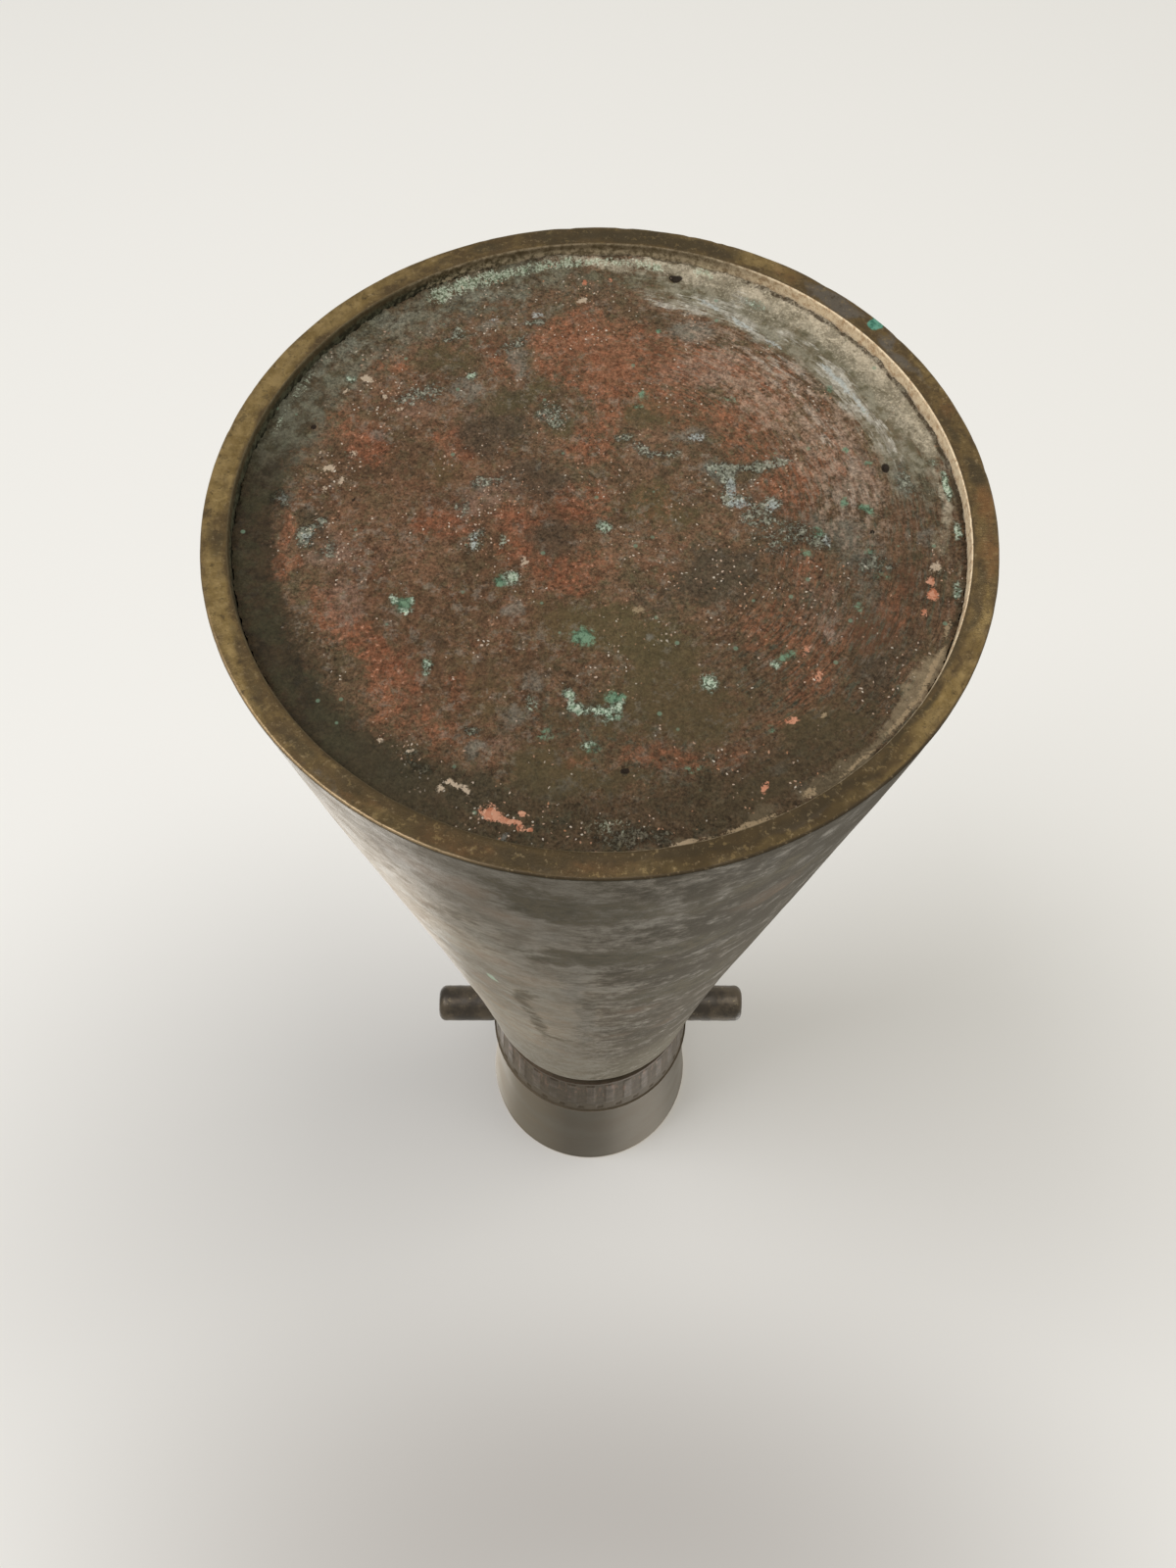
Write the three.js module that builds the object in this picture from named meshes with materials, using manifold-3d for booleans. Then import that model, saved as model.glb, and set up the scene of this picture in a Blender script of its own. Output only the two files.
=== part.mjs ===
import * as THREE from 'three';
import { mergeVertices } from 'three/addons/utils/BufferGeometryUtils.js';
import Module from 'manifold-3d';

// Bronze flower vase, upright, in millimetres. +Z is up, the ears lie along X,
// and the origin is the centre of the standing ring, on the table.

// Body
const footRadius = 55;
const waistRadius = 30.1;
const bodyHeight = 224;
const bodyWall = 3;
const footSlope = -0.107;
const waistSlope = -0.076;
const footEdgeRound = 0.8;
const waistRound = 2;

// Standing ring and base plate
const landWidth = 3.8;
const recessDepth = 2.3;
const plateThickness = 2.5;
const plateEdgeRound = 0.4;
const ledgeWidth = 5.2;
const ledgeThickness = 3;

// Neck and mouth
const neckHeight = 103.7;
const waistStep = 3.3;
const mouthRadius = 34.7;
const neckWall = 2.8;
const neckFootSlope = 0.066;
const neckMouthSlope = 0.088;
const lipRound = 0.8;
const socketDepth = 12;
const stopThickness = 3;

// Solder runs
const baseSolderLeg = 3;
const neckSolderRadius = 1.6;

// Relief band
const bandStart = 9;
const bandHeight = 31.2;
const bandThickness = 0.8;
const reliefDepth = 0.5;
const borderHeight = 1.4;
const strokeCount = 32;
const strokeShare = 0.52;
const strokeRamp = 0.06;

// Ears
const earRadius = 5.5;
const earLength = 17;
const earRound = 2.2;
const tenonRadius = 3;
const tenonHeadLip = 1.2;
const tenonHeadThickness = 1.2;
const tenonOverlap = 3;

// Clearance between pieces that touch
const fitGap = 0.3;

// Facets
const turnSegments = 64;
const earSegments = 32;
const profileSteps = 6;
const roundSteps = 3;

// Sizes that follow from the ones above
const mouthHeight = bodyHeight + neckHeight;
const rebateRadius = footRadius - landWidth;
const plateTop = recessDepth + plateThickness;
const ledgeBottom = plateTop + fitGap;
const ledgeTop = ledgeBottom + ledgeThickness;
const ledgeRadius = rebateRadius - ledgeWidth;
const neckFootRadius = waistRadius - waistStep;
const socketRadius = neckFootRadius + fitGap;
const socketBottom = bodyHeight - socketDepth;
const stopBottom = socketBottom - stopThickness;
const neckBoreRadius = neckFootRadius - neckWall;
const bandBottom = bodyHeight + bandStart;
const bandTop = bandBottom + bandHeight;
const earHeight = (bandBottom + bandTop) / 2;
const tenonHeadRadius = tenonRadius + tenonHeadLip;

// Rounds are kept within the walls that they finish
const footEdge = Math.min(footEdgeRound, landWidth / 3);
const plateEdge = Math.min(plateEdgeRound, plateThickness / 3);
const waistEdge = Math.min(waistRound, (waistStep - fitGap) * 0.8);
const lipEdge = Math.min(lipRound, neckWall / 3);
const earEdge = Math.min(earRound, earRadius * 0.8);

const wasm = await Module();
wasm.setup();

const point = (radius, height) => new THREE.Vector2(radius, height);

// A tapered wall: its radius at a height, bending smoothly from one slope to the other
function taper(low, lowRadius, lowSlope, high, highRadius, highSlope) {
  const third = (high - low) / 3;
  const curve = new THREE.CubicBezierCurve(
    point(lowRadius, low),
    point(lowRadius + lowSlope * third, low + third),
    point(highRadius - highSlope * third, high - third),
    point(highRadius, high),
  );
  return (height) => curve.getPoint((height - low) / (high - low)).x;
}

// Points up or down a wall, from one height to another
function wallPoints(radiusAt, from, to) {
  const points = [];
  for (let i = 0; i <= profileSteps; i += 1) {
    const height = from + ((to - from) * i) / profileSteps;
    points.push(point(radiusAt(height), height));
  }
  return points;
}

// An arc about a centre, from one angle to another in degrees
function roundPoints(radius, height, size, fromAngle, toAngle) {
  const points = [];
  for (let i = 0; i <= roundSteps; i += 1) {
    const share = i / roundSteps;
    const angle = THREE.MathUtils.degToRad(fromAngle + (toAngle - fromAngle) * share);
    points.push(point(radius + size * Math.cos(angle), height + size * Math.sin(angle)));
  }
  return points;
}

// A solid of revolution about Z from an anticlockwise outline of radius and height
function turned(outline, segments = turnSegments) {
  const onAxis = outline[0].x === 0 && outline.at(-1).x === 0;
  const profile = onAxis ? outline : [...outline, outline[0].clone()];
  const geometry = new THREE.LatheGeometry(profile, segments);
  geometry.rotateX(Math.PI / 2);
  return geometry;
}

function toSolid(geometry) {
  const bare = geometry.clone();
  bare.deleteAttribute('normal');
  bare.deleteAttribute('uv');
  const merged = mergeVertices(bare);
  const index = Uint32Array.from(merged.index.array);
  const triangles = [];
  for (let i = 0; i < index.length; i += 3) {
    const [a, b, c] = index.subarray(i, i + 3);
    if (a !== b && b !== c && c !== a) {
      triangles.push(a, b, c);
    }
  }
  const vertProperties = Float32Array.from(merged.attributes.position.array);
  const triVerts = Uint32Array.from(triangles);
  return new wasm.Manifold(new wasm.Mesh({ numProp: 3, vertProperties, triVerts }));
}

function toGeometry(solid) {
  const mesh = solid.getMesh();
  const geometry = new THREE.BufferGeometry();
  geometry.setAttribute('position', new THREE.BufferAttribute(mesh.vertProperties, 3));
  geometry.setIndex(new THREE.BufferAttribute(mesh.triVerts, 1));
  geometry.computeVertexNormals();
  return geometry;
}

// A plain rod along X at the ears' height
function rodAlongX(radius, from, to) {
  const rod = new THREE.CylinderGeometry(radius, radius, to - from, earSegments);
  rod.rotateZ(-Math.PI / 2);
  rod.translate((from + to) / 2, 0, earHeight);
  return rod;
}

const bodyOuter = taper(0, footRadius, footSlope, bodyHeight, waistRadius, waistSlope);
const bodyInner = (height) => bodyOuter(height) - bodyWall;
const neckOuter = taper(
  bodyHeight, neckFootRadius, neckFootSlope, mouthHeight, mouthRadius, neckMouthSlope,
);
const neckInner = (height) => neckOuter(height) - neckWall;
const bandInner = (height) => neckOuter(height) + fitGap;
const bandGround = (height) => bandInner(height) + bandThickness;
const bandFace = (height) => bandGround(height) + reliefDepth;

// Tapered shell: rebate and ledge for the plate below, socket for the neck above
function bodyGeometry() {
  const ledgeShoulder = ledgeTop + (bodyInner(ledgeTop) - ledgeRadius) / 2;
  const stopShoulder = stopBottom - (bodyInner(stopBottom) - neckBoreRadius) / 2;
  return turned([
    point(rebateRadius, 0),
    ...roundPoints(footRadius - footEdge, footEdge, footEdge, -90, 0),
    ...wallPoints(bodyOuter, footEdge * 2, bodyHeight - waistEdge * 1.5),
    ...roundPoints(waistRadius - waistEdge, bodyHeight - waistEdge, waistEdge, 0, 90),
    point(socketRadius, bodyHeight),
    point(socketRadius, socketBottom),
    point(neckBoreRadius, socketBottom),
    point(neckBoreRadius, stopBottom),
    ...wallPoints(bodyInner, stopShoulder, ledgeShoulder),
    point(ledgeRadius, ledgeTop),
    point(ledgeRadius, ledgeBottom),
    point(rebateRadius, ledgeBottom),
  ]);
}

// Disc let into the foot from below
function basePlateGeometry() {
  const radius = rebateRadius - fitGap;
  return turned([
    point(0, recessDepth),
    ...roundPoints(radius - plateEdge, recessDepth + plateEdge, plateEdge, -90, 0),
    point(radius, plateTop),
    point(0, plateTop),
  ]);
}

// Fillet of solder in the corner of plate and ledge
function baseSolderGeometry() {
  const outer = ledgeRadius - fitGap;
  const bottom = plateTop + fitGap;
  return turned([
    point(outer - baseSolderLeg, bottom),
    point(outer, bottom),
    point(outer, bottom + baseSolderLeg),
    point(outer - baseSolderLeg * 0.4, bottom + baseSolderLeg * 0.4),
  ]);
}

// Spigot, flared wall and rounded lip, with a hole each side for the ears' tenons
function neckGeometry() {
  const spigotBottom = socketBottom + fitGap;
  const lipHeight = mouthHeight - lipEdge;
  const flare = turned([
    point(neckBoreRadius, spigotBottom),
    point(neckFootRadius, spigotBottom),
    ...wallPoints(neckOuter, bodyHeight, lipHeight - lipEdge / 2),
    ...roundPoints(mouthRadius - lipEdge, lipHeight, lipEdge, 0, 90),
    ...roundPoints(mouthRadius - neckWall + lipEdge, lipHeight, lipEdge, 90, 180),
    ...wallPoints(neckInner, lipHeight - lipEdge / 2, bodyHeight),
  ]);
  const holes = rodAlongX(tenonRadius + fitGap, -mouthRadius, mouthRadius);
  return toGeometry(toSolid(flare).subtract(toSolid(holes)));
}

// Bead of solder over the joint of spigot and stop, inside
function neckSolderGeometry() {
  const seam = neckBoreRadius - fitGap;
  return turned(roundPoints(seam, socketBottom, neckSolderRadius, 90, 270));
}

// Collar with upright strokes between two plain borders
function reliefBandGeometry() {
  const pitch = (Math.PI * 2) / strokeCount;
  const columns = [];
  for (let stroke = 0; stroke < strokeCount; stroke += 1) {
    const start = (stroke - strokeShare / 2) * pitch;
    columns.push({ angle: start - strokeRamp * pitch, raised: false });
    columns.push({ angle: start, raised: true });
    columns.push({ angle: start + strokeShare * pitch, raised: true });
    columns.push({ angle: start + (strokeShare + strokeRamp) * pitch, raised: false });
  }
  const rampHeight = reliefDepth / 2;
  const strokeFace = (height, raised) => (raised ? bandFace(height) : bandGround(height));
  const rows = [
    { height: bandBottom, radius: bandInner },
    { height: bandBottom, radius: bandFace },
    { height: bandBottom + borderHeight, radius: bandFace },
    { height: bandBottom + borderHeight + rampHeight, radius: strokeFace },
    { height: bandTop - borderHeight - rampHeight, radius: strokeFace },
    { height: bandTop - borderHeight, radius: bandFace },
    { height: bandTop, radius: bandFace },
    { height: bandTop, radius: bandInner },
  ];
  const positions = [];
  for (const { angle, raised } of columns) {
    for (const { height, radius } of rows) {
      const distance = radius(height, raised);
      positions.push(distance * Math.cos(angle), distance * Math.sin(angle), height);
    }
  }
  const index = [];
  for (let column = 0; column < columns.length; column += 1) {
    const next = (column + 1) % columns.length;
    for (let row = 0; row < rows.length; row += 1) {
      const above = (row + 1) % rows.length;
      const a = column * rows.length + row;
      const b = next * rows.length + row;
      const c = next * rows.length + above;
      const d = column * rows.length + above;
      index.push(a, b, c, a, c, d);
    }
  }
  const geometry = new THREE.BufferGeometry();
  geometry.setAttribute('position', new THREE.Float32BufferAttribute(positions, 3));
  geometry.setIndex(index);
  const holes = rodAlongX(tenonRadius + fitGap, -mouthRadius, mouthRadius);
  return toGeometry(toSolid(geometry).subtract(toSolid(holes)));
}

// Round lug hollowed to sit on the collar, with its tenon headed over inside the neck
function earGeometry() {
  const shoulder = bandFace(earHeight) + fitGap;
  const tip = shoulder + earLength;
  const shank = turned([
    point(0, neckFootRadius),
    point(earRadius, neckFootRadius),
    ...roundPoints(earRadius - earEdge, tip - earEdge, earEdge, 0, 90),
    point(0, tip),
  ], earSegments);
  shank.rotateY(Math.PI / 2);
  shank.translate(0, 0, earHeight);
  const seat = turned([
    point(0, bandBottom),
    point(bandFace(bandBottom) + fitGap, bandBottom),
    point(bandFace(bandTop) + fitGap, bandTop),
    point(0, bandTop),
  ]);
  const boreAtHead = neckInner(earHeight - tenonHeadRadius);
  const headFace = Math.sqrt(boreAtHead ** 2 - tenonHeadRadius ** 2) - fitGap;
  const tenon = rodAlongX(tenonRadius, headFace - tenonHeadThickness / 2, shoulder + tenonOverlap);
  const head = rodAlongX(tenonHeadRadius, headFace - tenonHeadThickness, headFace);
  const seated = toSolid(shank).subtract(toSolid(seat));
  return toGeometry(seated.add(toSolid(tenon)).add(toSolid(head)));
}

const finishes = {
  patina: { color: 0x6f675a, roughness: 0.5, metalness: 0.8 },
  corroded: { color: 0x6a5340, roughness: 0.75, metalness: 0.4 },
  neckPatina: { color: 0x6b6356, roughness: 0.5, metalness: 0.8 },
  darkBronze: { color: 0x4a4239, roughness: 0.4, metalness: 0.85 },
  solder: { color: 0x8f8e88, roughness: 0.6, metalness: 0.7 },
};

function piece(name, geometry, finish) {
  const mesh = new THREE.Mesh(geometry, new THREE.MeshStandardMaterial(finishes[finish]));
  mesh.name = name;
  return mesh;
}

const group = new THREE.Group();
group.add(piece('body', bodyGeometry(), 'patina'));
group.add(piece('base_plate', basePlateGeometry(), 'corroded'));
group.add(piece('base_solder', baseSolderGeometry(), 'solder'));
group.add(piece('neck', neckGeometry(), 'neckPatina'));
group.add(piece('neck_solder', neckSolderGeometry(), 'solder'));
group.add(piece('relief_band', reliefBandGeometry(), 'neckPatina'));
const earRight = piece('ear_right', earGeometry(), 'darkBronze');
const earLeft = piece('ear_left', earGeometry(), 'darkBronze');
earLeft.rotation.z = Math.PI;
group.add(earRight, earLeft);

export default group;
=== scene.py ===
import math
import random

import bpy
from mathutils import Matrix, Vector, kdtree, noise


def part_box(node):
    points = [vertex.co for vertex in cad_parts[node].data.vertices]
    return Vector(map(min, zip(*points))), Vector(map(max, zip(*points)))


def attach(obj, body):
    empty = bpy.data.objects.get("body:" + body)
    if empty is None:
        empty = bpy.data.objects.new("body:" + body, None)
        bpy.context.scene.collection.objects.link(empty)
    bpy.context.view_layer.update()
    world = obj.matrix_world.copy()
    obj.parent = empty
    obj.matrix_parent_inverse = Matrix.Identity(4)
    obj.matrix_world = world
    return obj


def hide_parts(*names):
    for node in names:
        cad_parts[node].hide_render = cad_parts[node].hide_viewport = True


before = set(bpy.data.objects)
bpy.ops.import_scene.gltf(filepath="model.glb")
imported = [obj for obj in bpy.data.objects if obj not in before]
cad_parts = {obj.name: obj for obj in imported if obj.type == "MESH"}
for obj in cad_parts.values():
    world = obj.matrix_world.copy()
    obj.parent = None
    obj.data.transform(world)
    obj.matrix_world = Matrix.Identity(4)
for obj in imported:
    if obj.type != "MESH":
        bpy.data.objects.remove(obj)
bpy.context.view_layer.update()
mm = 0.001
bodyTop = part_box("body")[1] / mm
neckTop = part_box("neck")[1] / mm
bandLow, bandTop = (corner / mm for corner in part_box("relief_band"))
plateLow, plateTop = (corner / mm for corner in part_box("base_plate"))
earLow, earTop = (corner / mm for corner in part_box("ear_right"))


# The photograph looks down on the upturned vase, so the camera looks up at the foot

cameraSetup = {
    "place": (0.002142, -0.110056, -0.142148),
    "turn": (-154.4753, 0.2005, 180),
    "lens": 29.115,
    "sensorWidth": 36,
    "clipStart": 0.01,
}

bpy.ops.object.camera_add(
    location=cameraSetup["place"], rotation=[math.radians(angle) for angle in cameraSetup["turn"]]
)
photoCamera = bpy.context.object
photoCamera.name = "photoCamera"
photoCamera.data.lens = cameraSetup["lens"]
photoCamera.data.sensor_width = cameraSetup["sensorWidth"]
photoCamera.data.clip_start = cameraSetup["clipStart"]
bpy.context.scene.camera = photoCamera
bpy.context.scene.view_settings.view_transform = "Standard"


# Mesh tools

def clearSelection():
    if bpy.context.object and bpy.context.object.mode != "OBJECT":
        bpy.ops.object.mode_set(mode="OBJECT")
    bpy.ops.object.select_all(action="DESELECT")


def takeUp(piece):
    clearSelection()
    piece.select_set(True)
    bpy.context.view_layer.objects.active = piece


def editAll(piece):  # into edit mode with all of the piece selected
    takeUp(piece)
    bpy.ops.object.mode_set(mode="EDIT")
    bpy.ops.mesh.select_all(action="SELECT")


def raisePiece(piece, height):
    editAll(piece)
    bpy.ops.transform.translate(value=(0, 0, height * mm))
    bpy.ops.object.mode_set(mode="OBJECT")


# Points of an outline, as (radius, height): part of a round, a straight line and a wall whose
# radius follows its height. The last number of each is its count of steps
def arc(radius, height, size, fromAngle, toAngle, steps):
    points = []
    for step in range(steps + 1):
        angle = math.radians(fromAngle + (toAngle - fromAngle) * step / steps)
        points.append((radius + size * math.cos(angle), height + size * math.sin(angle)))
    return points


def run(start, end, steps):
    points = []
    for step in range(steps + 1):
        share = step / steps
        points.append(tuple(a + (b - a) * share for a, b in zip(start, end)))
    return points


def wall(radiusAt, start, end, steps):
    heights = [start + (end - start) * step / steps for step in range(steps + 1)]
    return [(radiusAt(height), height) for height in heights]


# Radius at a height, easing from one slope to the other
def taper(low, lowRadius, lowSlope, high, highRadius, highSlope):
    third = (high - low) / 3
    controls = [lowRadius, lowRadius + lowSlope * third, highRadius - highSlope * third, highRadius]

    def radiusAt(height):
        t = (height - low) / (high - low)
        s = 1 - t
        weights = [s**3, 3 * s * s * t, 3 * s * t * t, t**3]
        return sum(weight * control for weight, control in zip(weights, controls))

    return radiusAt


# A ring is extruded and resized along an outline of radius and place, then closed on itself,
# or closed at both ends for a solid piece
def turnPiece(name, outline, segments, alongX=False, solid=False):
    def onAxis(place):
        return (place * mm, 0, 0) if alongX else (0, 0, place * mm)

    clearSelection()
    radius, place = outline[0]
    tilt = (0, math.radians(90), 0) if alongX else (0, 0, 0)
    bpy.ops.mesh.primitive_circle_add(
        vertices=segments, radius=radius * mm, location=onAxis(place), rotation=tilt
    )
    piece = bpy.context.object
    piece.name = name
    piece.data.name = name
    bpy.ops.object.transform_apply()
    bpy.ops.object.mode_set(mode="EDIT")
    bpy.ops.mesh.select_mode(type="VERT")
    bpy.ops.mesh.select_all(action="SELECT")
    for (radius, place), (nextRadius, nextPlace) in zip(outline, outline[1:]):
        step = onAxis(nextPlace - place)
        bpy.ops.mesh.extrude_region_move(TRANSFORM_OT_translate={"value": step})
        grow = nextRadius / radius
        resize = (1, grow, grow) if alongX else (grow, grow, 1)
        bpy.ops.transform.resize(value=resize, center_override=onAxis(nextPlace))
    bpy.ops.mesh.select_all(action="DESELECT")
    bpy.ops.mesh.select_non_manifold()
    if solid:
        bpy.ops.mesh.fill_holes(sides=0)
    else:
        bpy.ops.mesh.bridge_edge_loops()
    bpy.ops.mesh.select_all(action="SELECT")
    bpy.ops.mesh.normals_make_consistent(inside=False)
    bpy.ops.object.mode_set(mode="OBJECT")
    return piece


def groupVertices(piece, name, weightAt):
    group = piece.vertex_groups.new(name=name)
    for vertex in piece.data.vertices:
        weight = weightAt(vertex.co / mm)
        if weight > 0.001:
            group.add([vertex.index], min(weight, 1), "REPLACE")


# Unevenness of a given size and height, on all of a piece or on one group of its vertices
def roughen(piece, name, size, height, depth, group=""):
    texture = bpy.data.textures.new(name, "CLOUDS")
    texture.noise_scale = size * mm
    texture.noise_depth = depth
    takeUp(piece)
    modifier = piece.modifiers.new(name, "DISPLACE")
    modifier.texture = texture
    modifier.texture_coords = "LOCAL"
    modifier.strength = height * mm
    modifier.vertex_group = group
    bpy.ops.object.modifier_apply(modifier=name)


# Pushes small rounds of the surface by (place, radius, push) with everything in millimetres
def dentPiece(piece, dents):
    tree = kdtree.KDTree(len(piece.data.vertices))
    for vertex in piece.data.vertices:
        tree.insert(vertex.co, vertex.index)
    tree.balance()
    for place, radius, push in dents:
        for _, index, distance in tree.find_range(Vector(place) * mm, radius * mm):
            share = 1 - distance / (radius * mm)
            piece.data.vertices[index].co += Vector(push) * mm * share * share * (3 - 2 * share)


swirlSeed = 1795735133
noise.seed_set(swirlSeed)  # otherwise the marks' swirls differ from run to run


def seenFromBelow(co):
    return Vector((-co.x, co.y, 0)) / mm


def unrolled(co):  # azimuth as 0.8 mm for each degree, and height
    azimuth = math.degrees(math.atan2(co.y, -co.x)) % 360
    return Vector((azimuth * 0.8, co.z / mm, 0))


# Shares of an oval's half width: it covers fully up to the first, and not at all from the second
ovalEdges = {"full": 0.3, "none": 1.5}
ovalSoftness = ovalEdges["none"] - ovalEdges["full"]


# Stores how strongly each list of soft ovals covers a piece, one attribute for each list.
# An oval is right, up, half width, half height, turn in degrees and strength, and each swirl is
# a size and how far it pushes the ovals' outlines about
def markPiece(piece, marks, swirls, placeOf=seenFromBelow):
    count = len(piece.data.vertices)
    tree = kdtree.KDTree(count)
    for vertex in piece.data.vertices:
        place = placeOf(vertex.co)
        for size, amount in swirls:
            place += noise.noise_vector(place / size) * amount
        tree.insert((place.x, place.y, 0), vertex.index)
    tree.balance()
    for name, patches in marks.items():
        cover = [0.0] * count
        for right, up, halfWidth, halfHeight, turn, strength in patches:
            cosine, sine = math.cos(math.radians(turn)), math.sin(math.radians(turn))
            reach = ovalEdges["none"] * max(halfWidth, halfHeight)
            for place, index, _ in tree.find_range((right, up, 0), reach):
                x, y = place.x - right, place.y - up
                along, across = x * cosine + y * sine, y * cosine - x * sine
                away = math.hypot(along / halfWidth, across / halfHeight)
                share = min(max((ovalEdges["none"] - away) / ovalSoftness, 0), 1)
                cover[index] += strength * share * share * (3 - 2 * share)
        attribute = piece.data.attributes.new(name, "FLOAT", "POINT")
        attribute.data.foreach_set("value", cover)


# Makes ovals of patches round the ring: azimuth, radius, half angle, half width and strength
def aroundRing(patches):
    turned = []
    for azimuth, radius, halfAngle, halfWidth, strength in patches:
        angle = math.radians(azimuth)
        right, up = radius * math.cos(angle), radius * math.sin(angle)
        halfLength = radius * math.radians(halfAngle)
        turned.append((right, up, halfWidth, halfLength, azimuth, strength))
    return turned


def cutWith(piece, cutter, name):
    takeUp(piece)
    modifier = piece.modifiers.new(name, "BOOLEAN")
    modifier.operation = "DIFFERENCE"
    modifier.solver = "EXACT"
    modifier.object = cutter
    bpy.ops.object.modifier_apply(modifier=name)
    bpy.data.objects.remove(cutter)


def finishPiece(piece, node, material, smoothAngle=40):
    takeUp(piece)
    bpy.ops.object.shade_smooth_by_angle(angle=math.radians(smoothAngle))
    piece.data.materials.clear()
    piece.data.materials.append(material)
    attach(piece, "root")
    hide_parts(node)
    print(piece.name, "done,", len(piece.data.polygons), "faces")


# Shader tools

def paint(red, green, blue):  # a screen colour, 0 to 255, as shaders want it
    def linear(value):
        share = value / 255
        return share / 12.92 if share <= 0.04045 else ((share + 0.055) / 1.055) ** 2.4

    return (linear(red), linear(green), linear(blue), 1)


def startFinish(name):
    material = bpy.data.materials.new(name)
    material.use_nodes = True
    return material, material.node_tree, material.node_tree.nodes["Principled BSDF"]


def plug(tree, node, sockets):  # each socket takes a value or another node's output
    for name, value in sockets.items():
        if isinstance(value, bpy.types.NodeSocket):
            tree.links.new(value, node.inputs[name])
        else:
            node.inputs[name].default_value = value


def addNode(tree, kind, sockets, **settings):
    made = tree.nodes.new(kind)
    for name, value in settings.items():
        setattr(made, name, value)
    plug(tree, made, sockets)
    return made


def maths(tree, operation, first, second=0.0, third=0.0):
    sockets = {0: first, 1: second, 2: third}
    return addNode(tree, "ShaderNodeMath", sockets, operation=operation).outputs[0]


def times(tree, first, *others):
    second = others[0] if len(others) == 1 else times(tree, *others)
    return maths(tree, "MULTIPLY", first, second)


def vectorMaths(tree, operation, first, second=(0, 0, 0), result="Vector"):
    made = addNode(tree, "ShaderNodeVectorMath", {0: first, 1: second}, operation=operation)
    return made.outputs[result]


def scaled(tree, vector, factor):
    sockets = {0: vector, 3: factor}
    return addNode(tree, "ShaderNodeVectorMath", sockets, operation="SCALE").outputs[0]


def between(tree, value, low, high, most=1.0):  # 0 at low, most at high, eased
    made = addNode(
        tree,
        "ShaderNodeMapRange",
        {"Value": value, "From Min": low, "From Max": high, "To Max": most},
        interpolation_type="SMOOTHSTEP",
    )
    return made.outputs["Result"]


# Each side is another node's output, a shader's colour of four numbers or a screen colour of three
def mixPaint(tree, share, under, over):
    sockets = {0: share}
    for socket, side in ((6, under), (7, over)):
        screenColour = isinstance(side, tuple) and len(side) == 3
        sockets[socket] = paint(*side) if screenColour else side
    return addNode(tree, "ShaderNodeMix", sockets, data_type="RGBA").outputs[2]


def twoTone(tree, value, low, high, pair):  # the pair's first colour at low, its second at high
    return mixPaint(tree, between(tree, value, low, high), *pair)


def coat(tree, under, share, most, over):  # another colour laid on, share times most
    return mixPaint(tree, times(tree, share, most), under, over)


def tinted(tree, under, value, low, high, most, over):  # laid on where a value nears high
    return mixPaint(tree, between(tree, value, low, high, most), under, over)


def mixValue(tree, share, under, over):
    sockets = {0: share, 2: under, 3: over}
    return addNode(tree, "ShaderNodeMix", sockets, data_type="FLOAT").outputs[0]


def brighten(tree, share, colour, factor):  # colour times factor where share is 1
    return scaled(tree, colour, mixValue(tree, share, 1.0, factor))


def channels(tree, colour):
    return addNode(tree, "ShaderNodeSeparateColor", {0: colour}).outputs


def marked(tree, name):  # how strongly a list of marks covers this point
    return addNode(tree, "ShaderNodeAttribute", {}, attribute_name=name).outputs["Fac"]


def grain(tree, place, size, detail, rough, result="Fac"):  # noise, size in millimetres
    made = addNode(
        tree,
        "ShaderNodeTexNoise",
        {"Vector": place, "Scale": 1 / size, "Detail": detail, "Roughness": rough},
    )
    return made.outputs[result]


def cells(tree, place, size):  # Distance from each cell's centre and Color of its own
    return addNode(tree, "ShaderNodeTexVoronoi", {"Vector": place, "Scale": 1 / size}).outputs


def stir(tree, place, size, amount):  # a place pushed about by swirls of a size
    swirl = grain(tree, place, size, 3, 0.6, "Color")
    swirl = vectorMaths(tree, "SUBTRACT", swirl, (0.5, 0.5, 0.5))
    return vectorMaths(tree, "ADD", place, scaled(tree, swirl, amount))


# Object coordinates in millimetres: right and up as the foot is seen from below, then height
def seenPlace(tree):
    coordinates = tree.nodes.new("ShaderNodeTexCoord")
    mapped = addNode(
        tree,
        "ShaderNodeMapping",
        {"Vector": coordinates.outputs["Object"], "Scale": (-1 / mm, 1 / mm, 1 / mm)},
    )
    return mapped.outputs[0]


def axisPlace(tree, place):  # direction from the axis, radius and height
    flat = vectorMaths(tree, "MULTIPLY", place, (1, 1, 0))
    height = addNode(tree, "ShaderNodeSeparateXYZ", {0: place}).outputs["Z"]
    radius = vectorMaths(tree, "LENGTH", flat, result="Value")
    return vectorMaths(tree, "NORMALIZE", flat), radius, height


def outwardness(tree, normal, direction):  # 1 where the surface faces away from the axis
    flipped = vectorMaths(tree, "MULTIPLY", normal, (-1, 1, 1))
    return vectorMaths(tree, "DOT_PRODUCT", flipped, direction, "Value")


# Noise drawn out round the axis: direction times along, and radius or height times across
def drawnGrain(tree, direction, value, along, across, detail, rough, result="Fac"):
    ring = scaled(tree, direction, along)
    lift = addNode(tree, "ShaderNodeCombineXYZ", {"Z": times(tree, value, across)})
    place = vectorMaths(tree, "ADD", ring, lift.outputs[0])
    return grain(tree, place, 1, detail, rough, result)


# 1 round an angle from the right, easing to 0 from spread - soft to spread + soft degrees away
def towards(tree, direction, angle, spread, soft):
    ray = (math.cos(math.radians(angle)), math.sin(math.radians(angle)), 0)
    along = vectorMaths(tree, "DOT_PRODUCT", direction, ray, "Value")
    edges = [math.cos(math.radians(spread + side * soft)) for side in (1, -1)]
    return between(tree, along, *edges)


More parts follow.
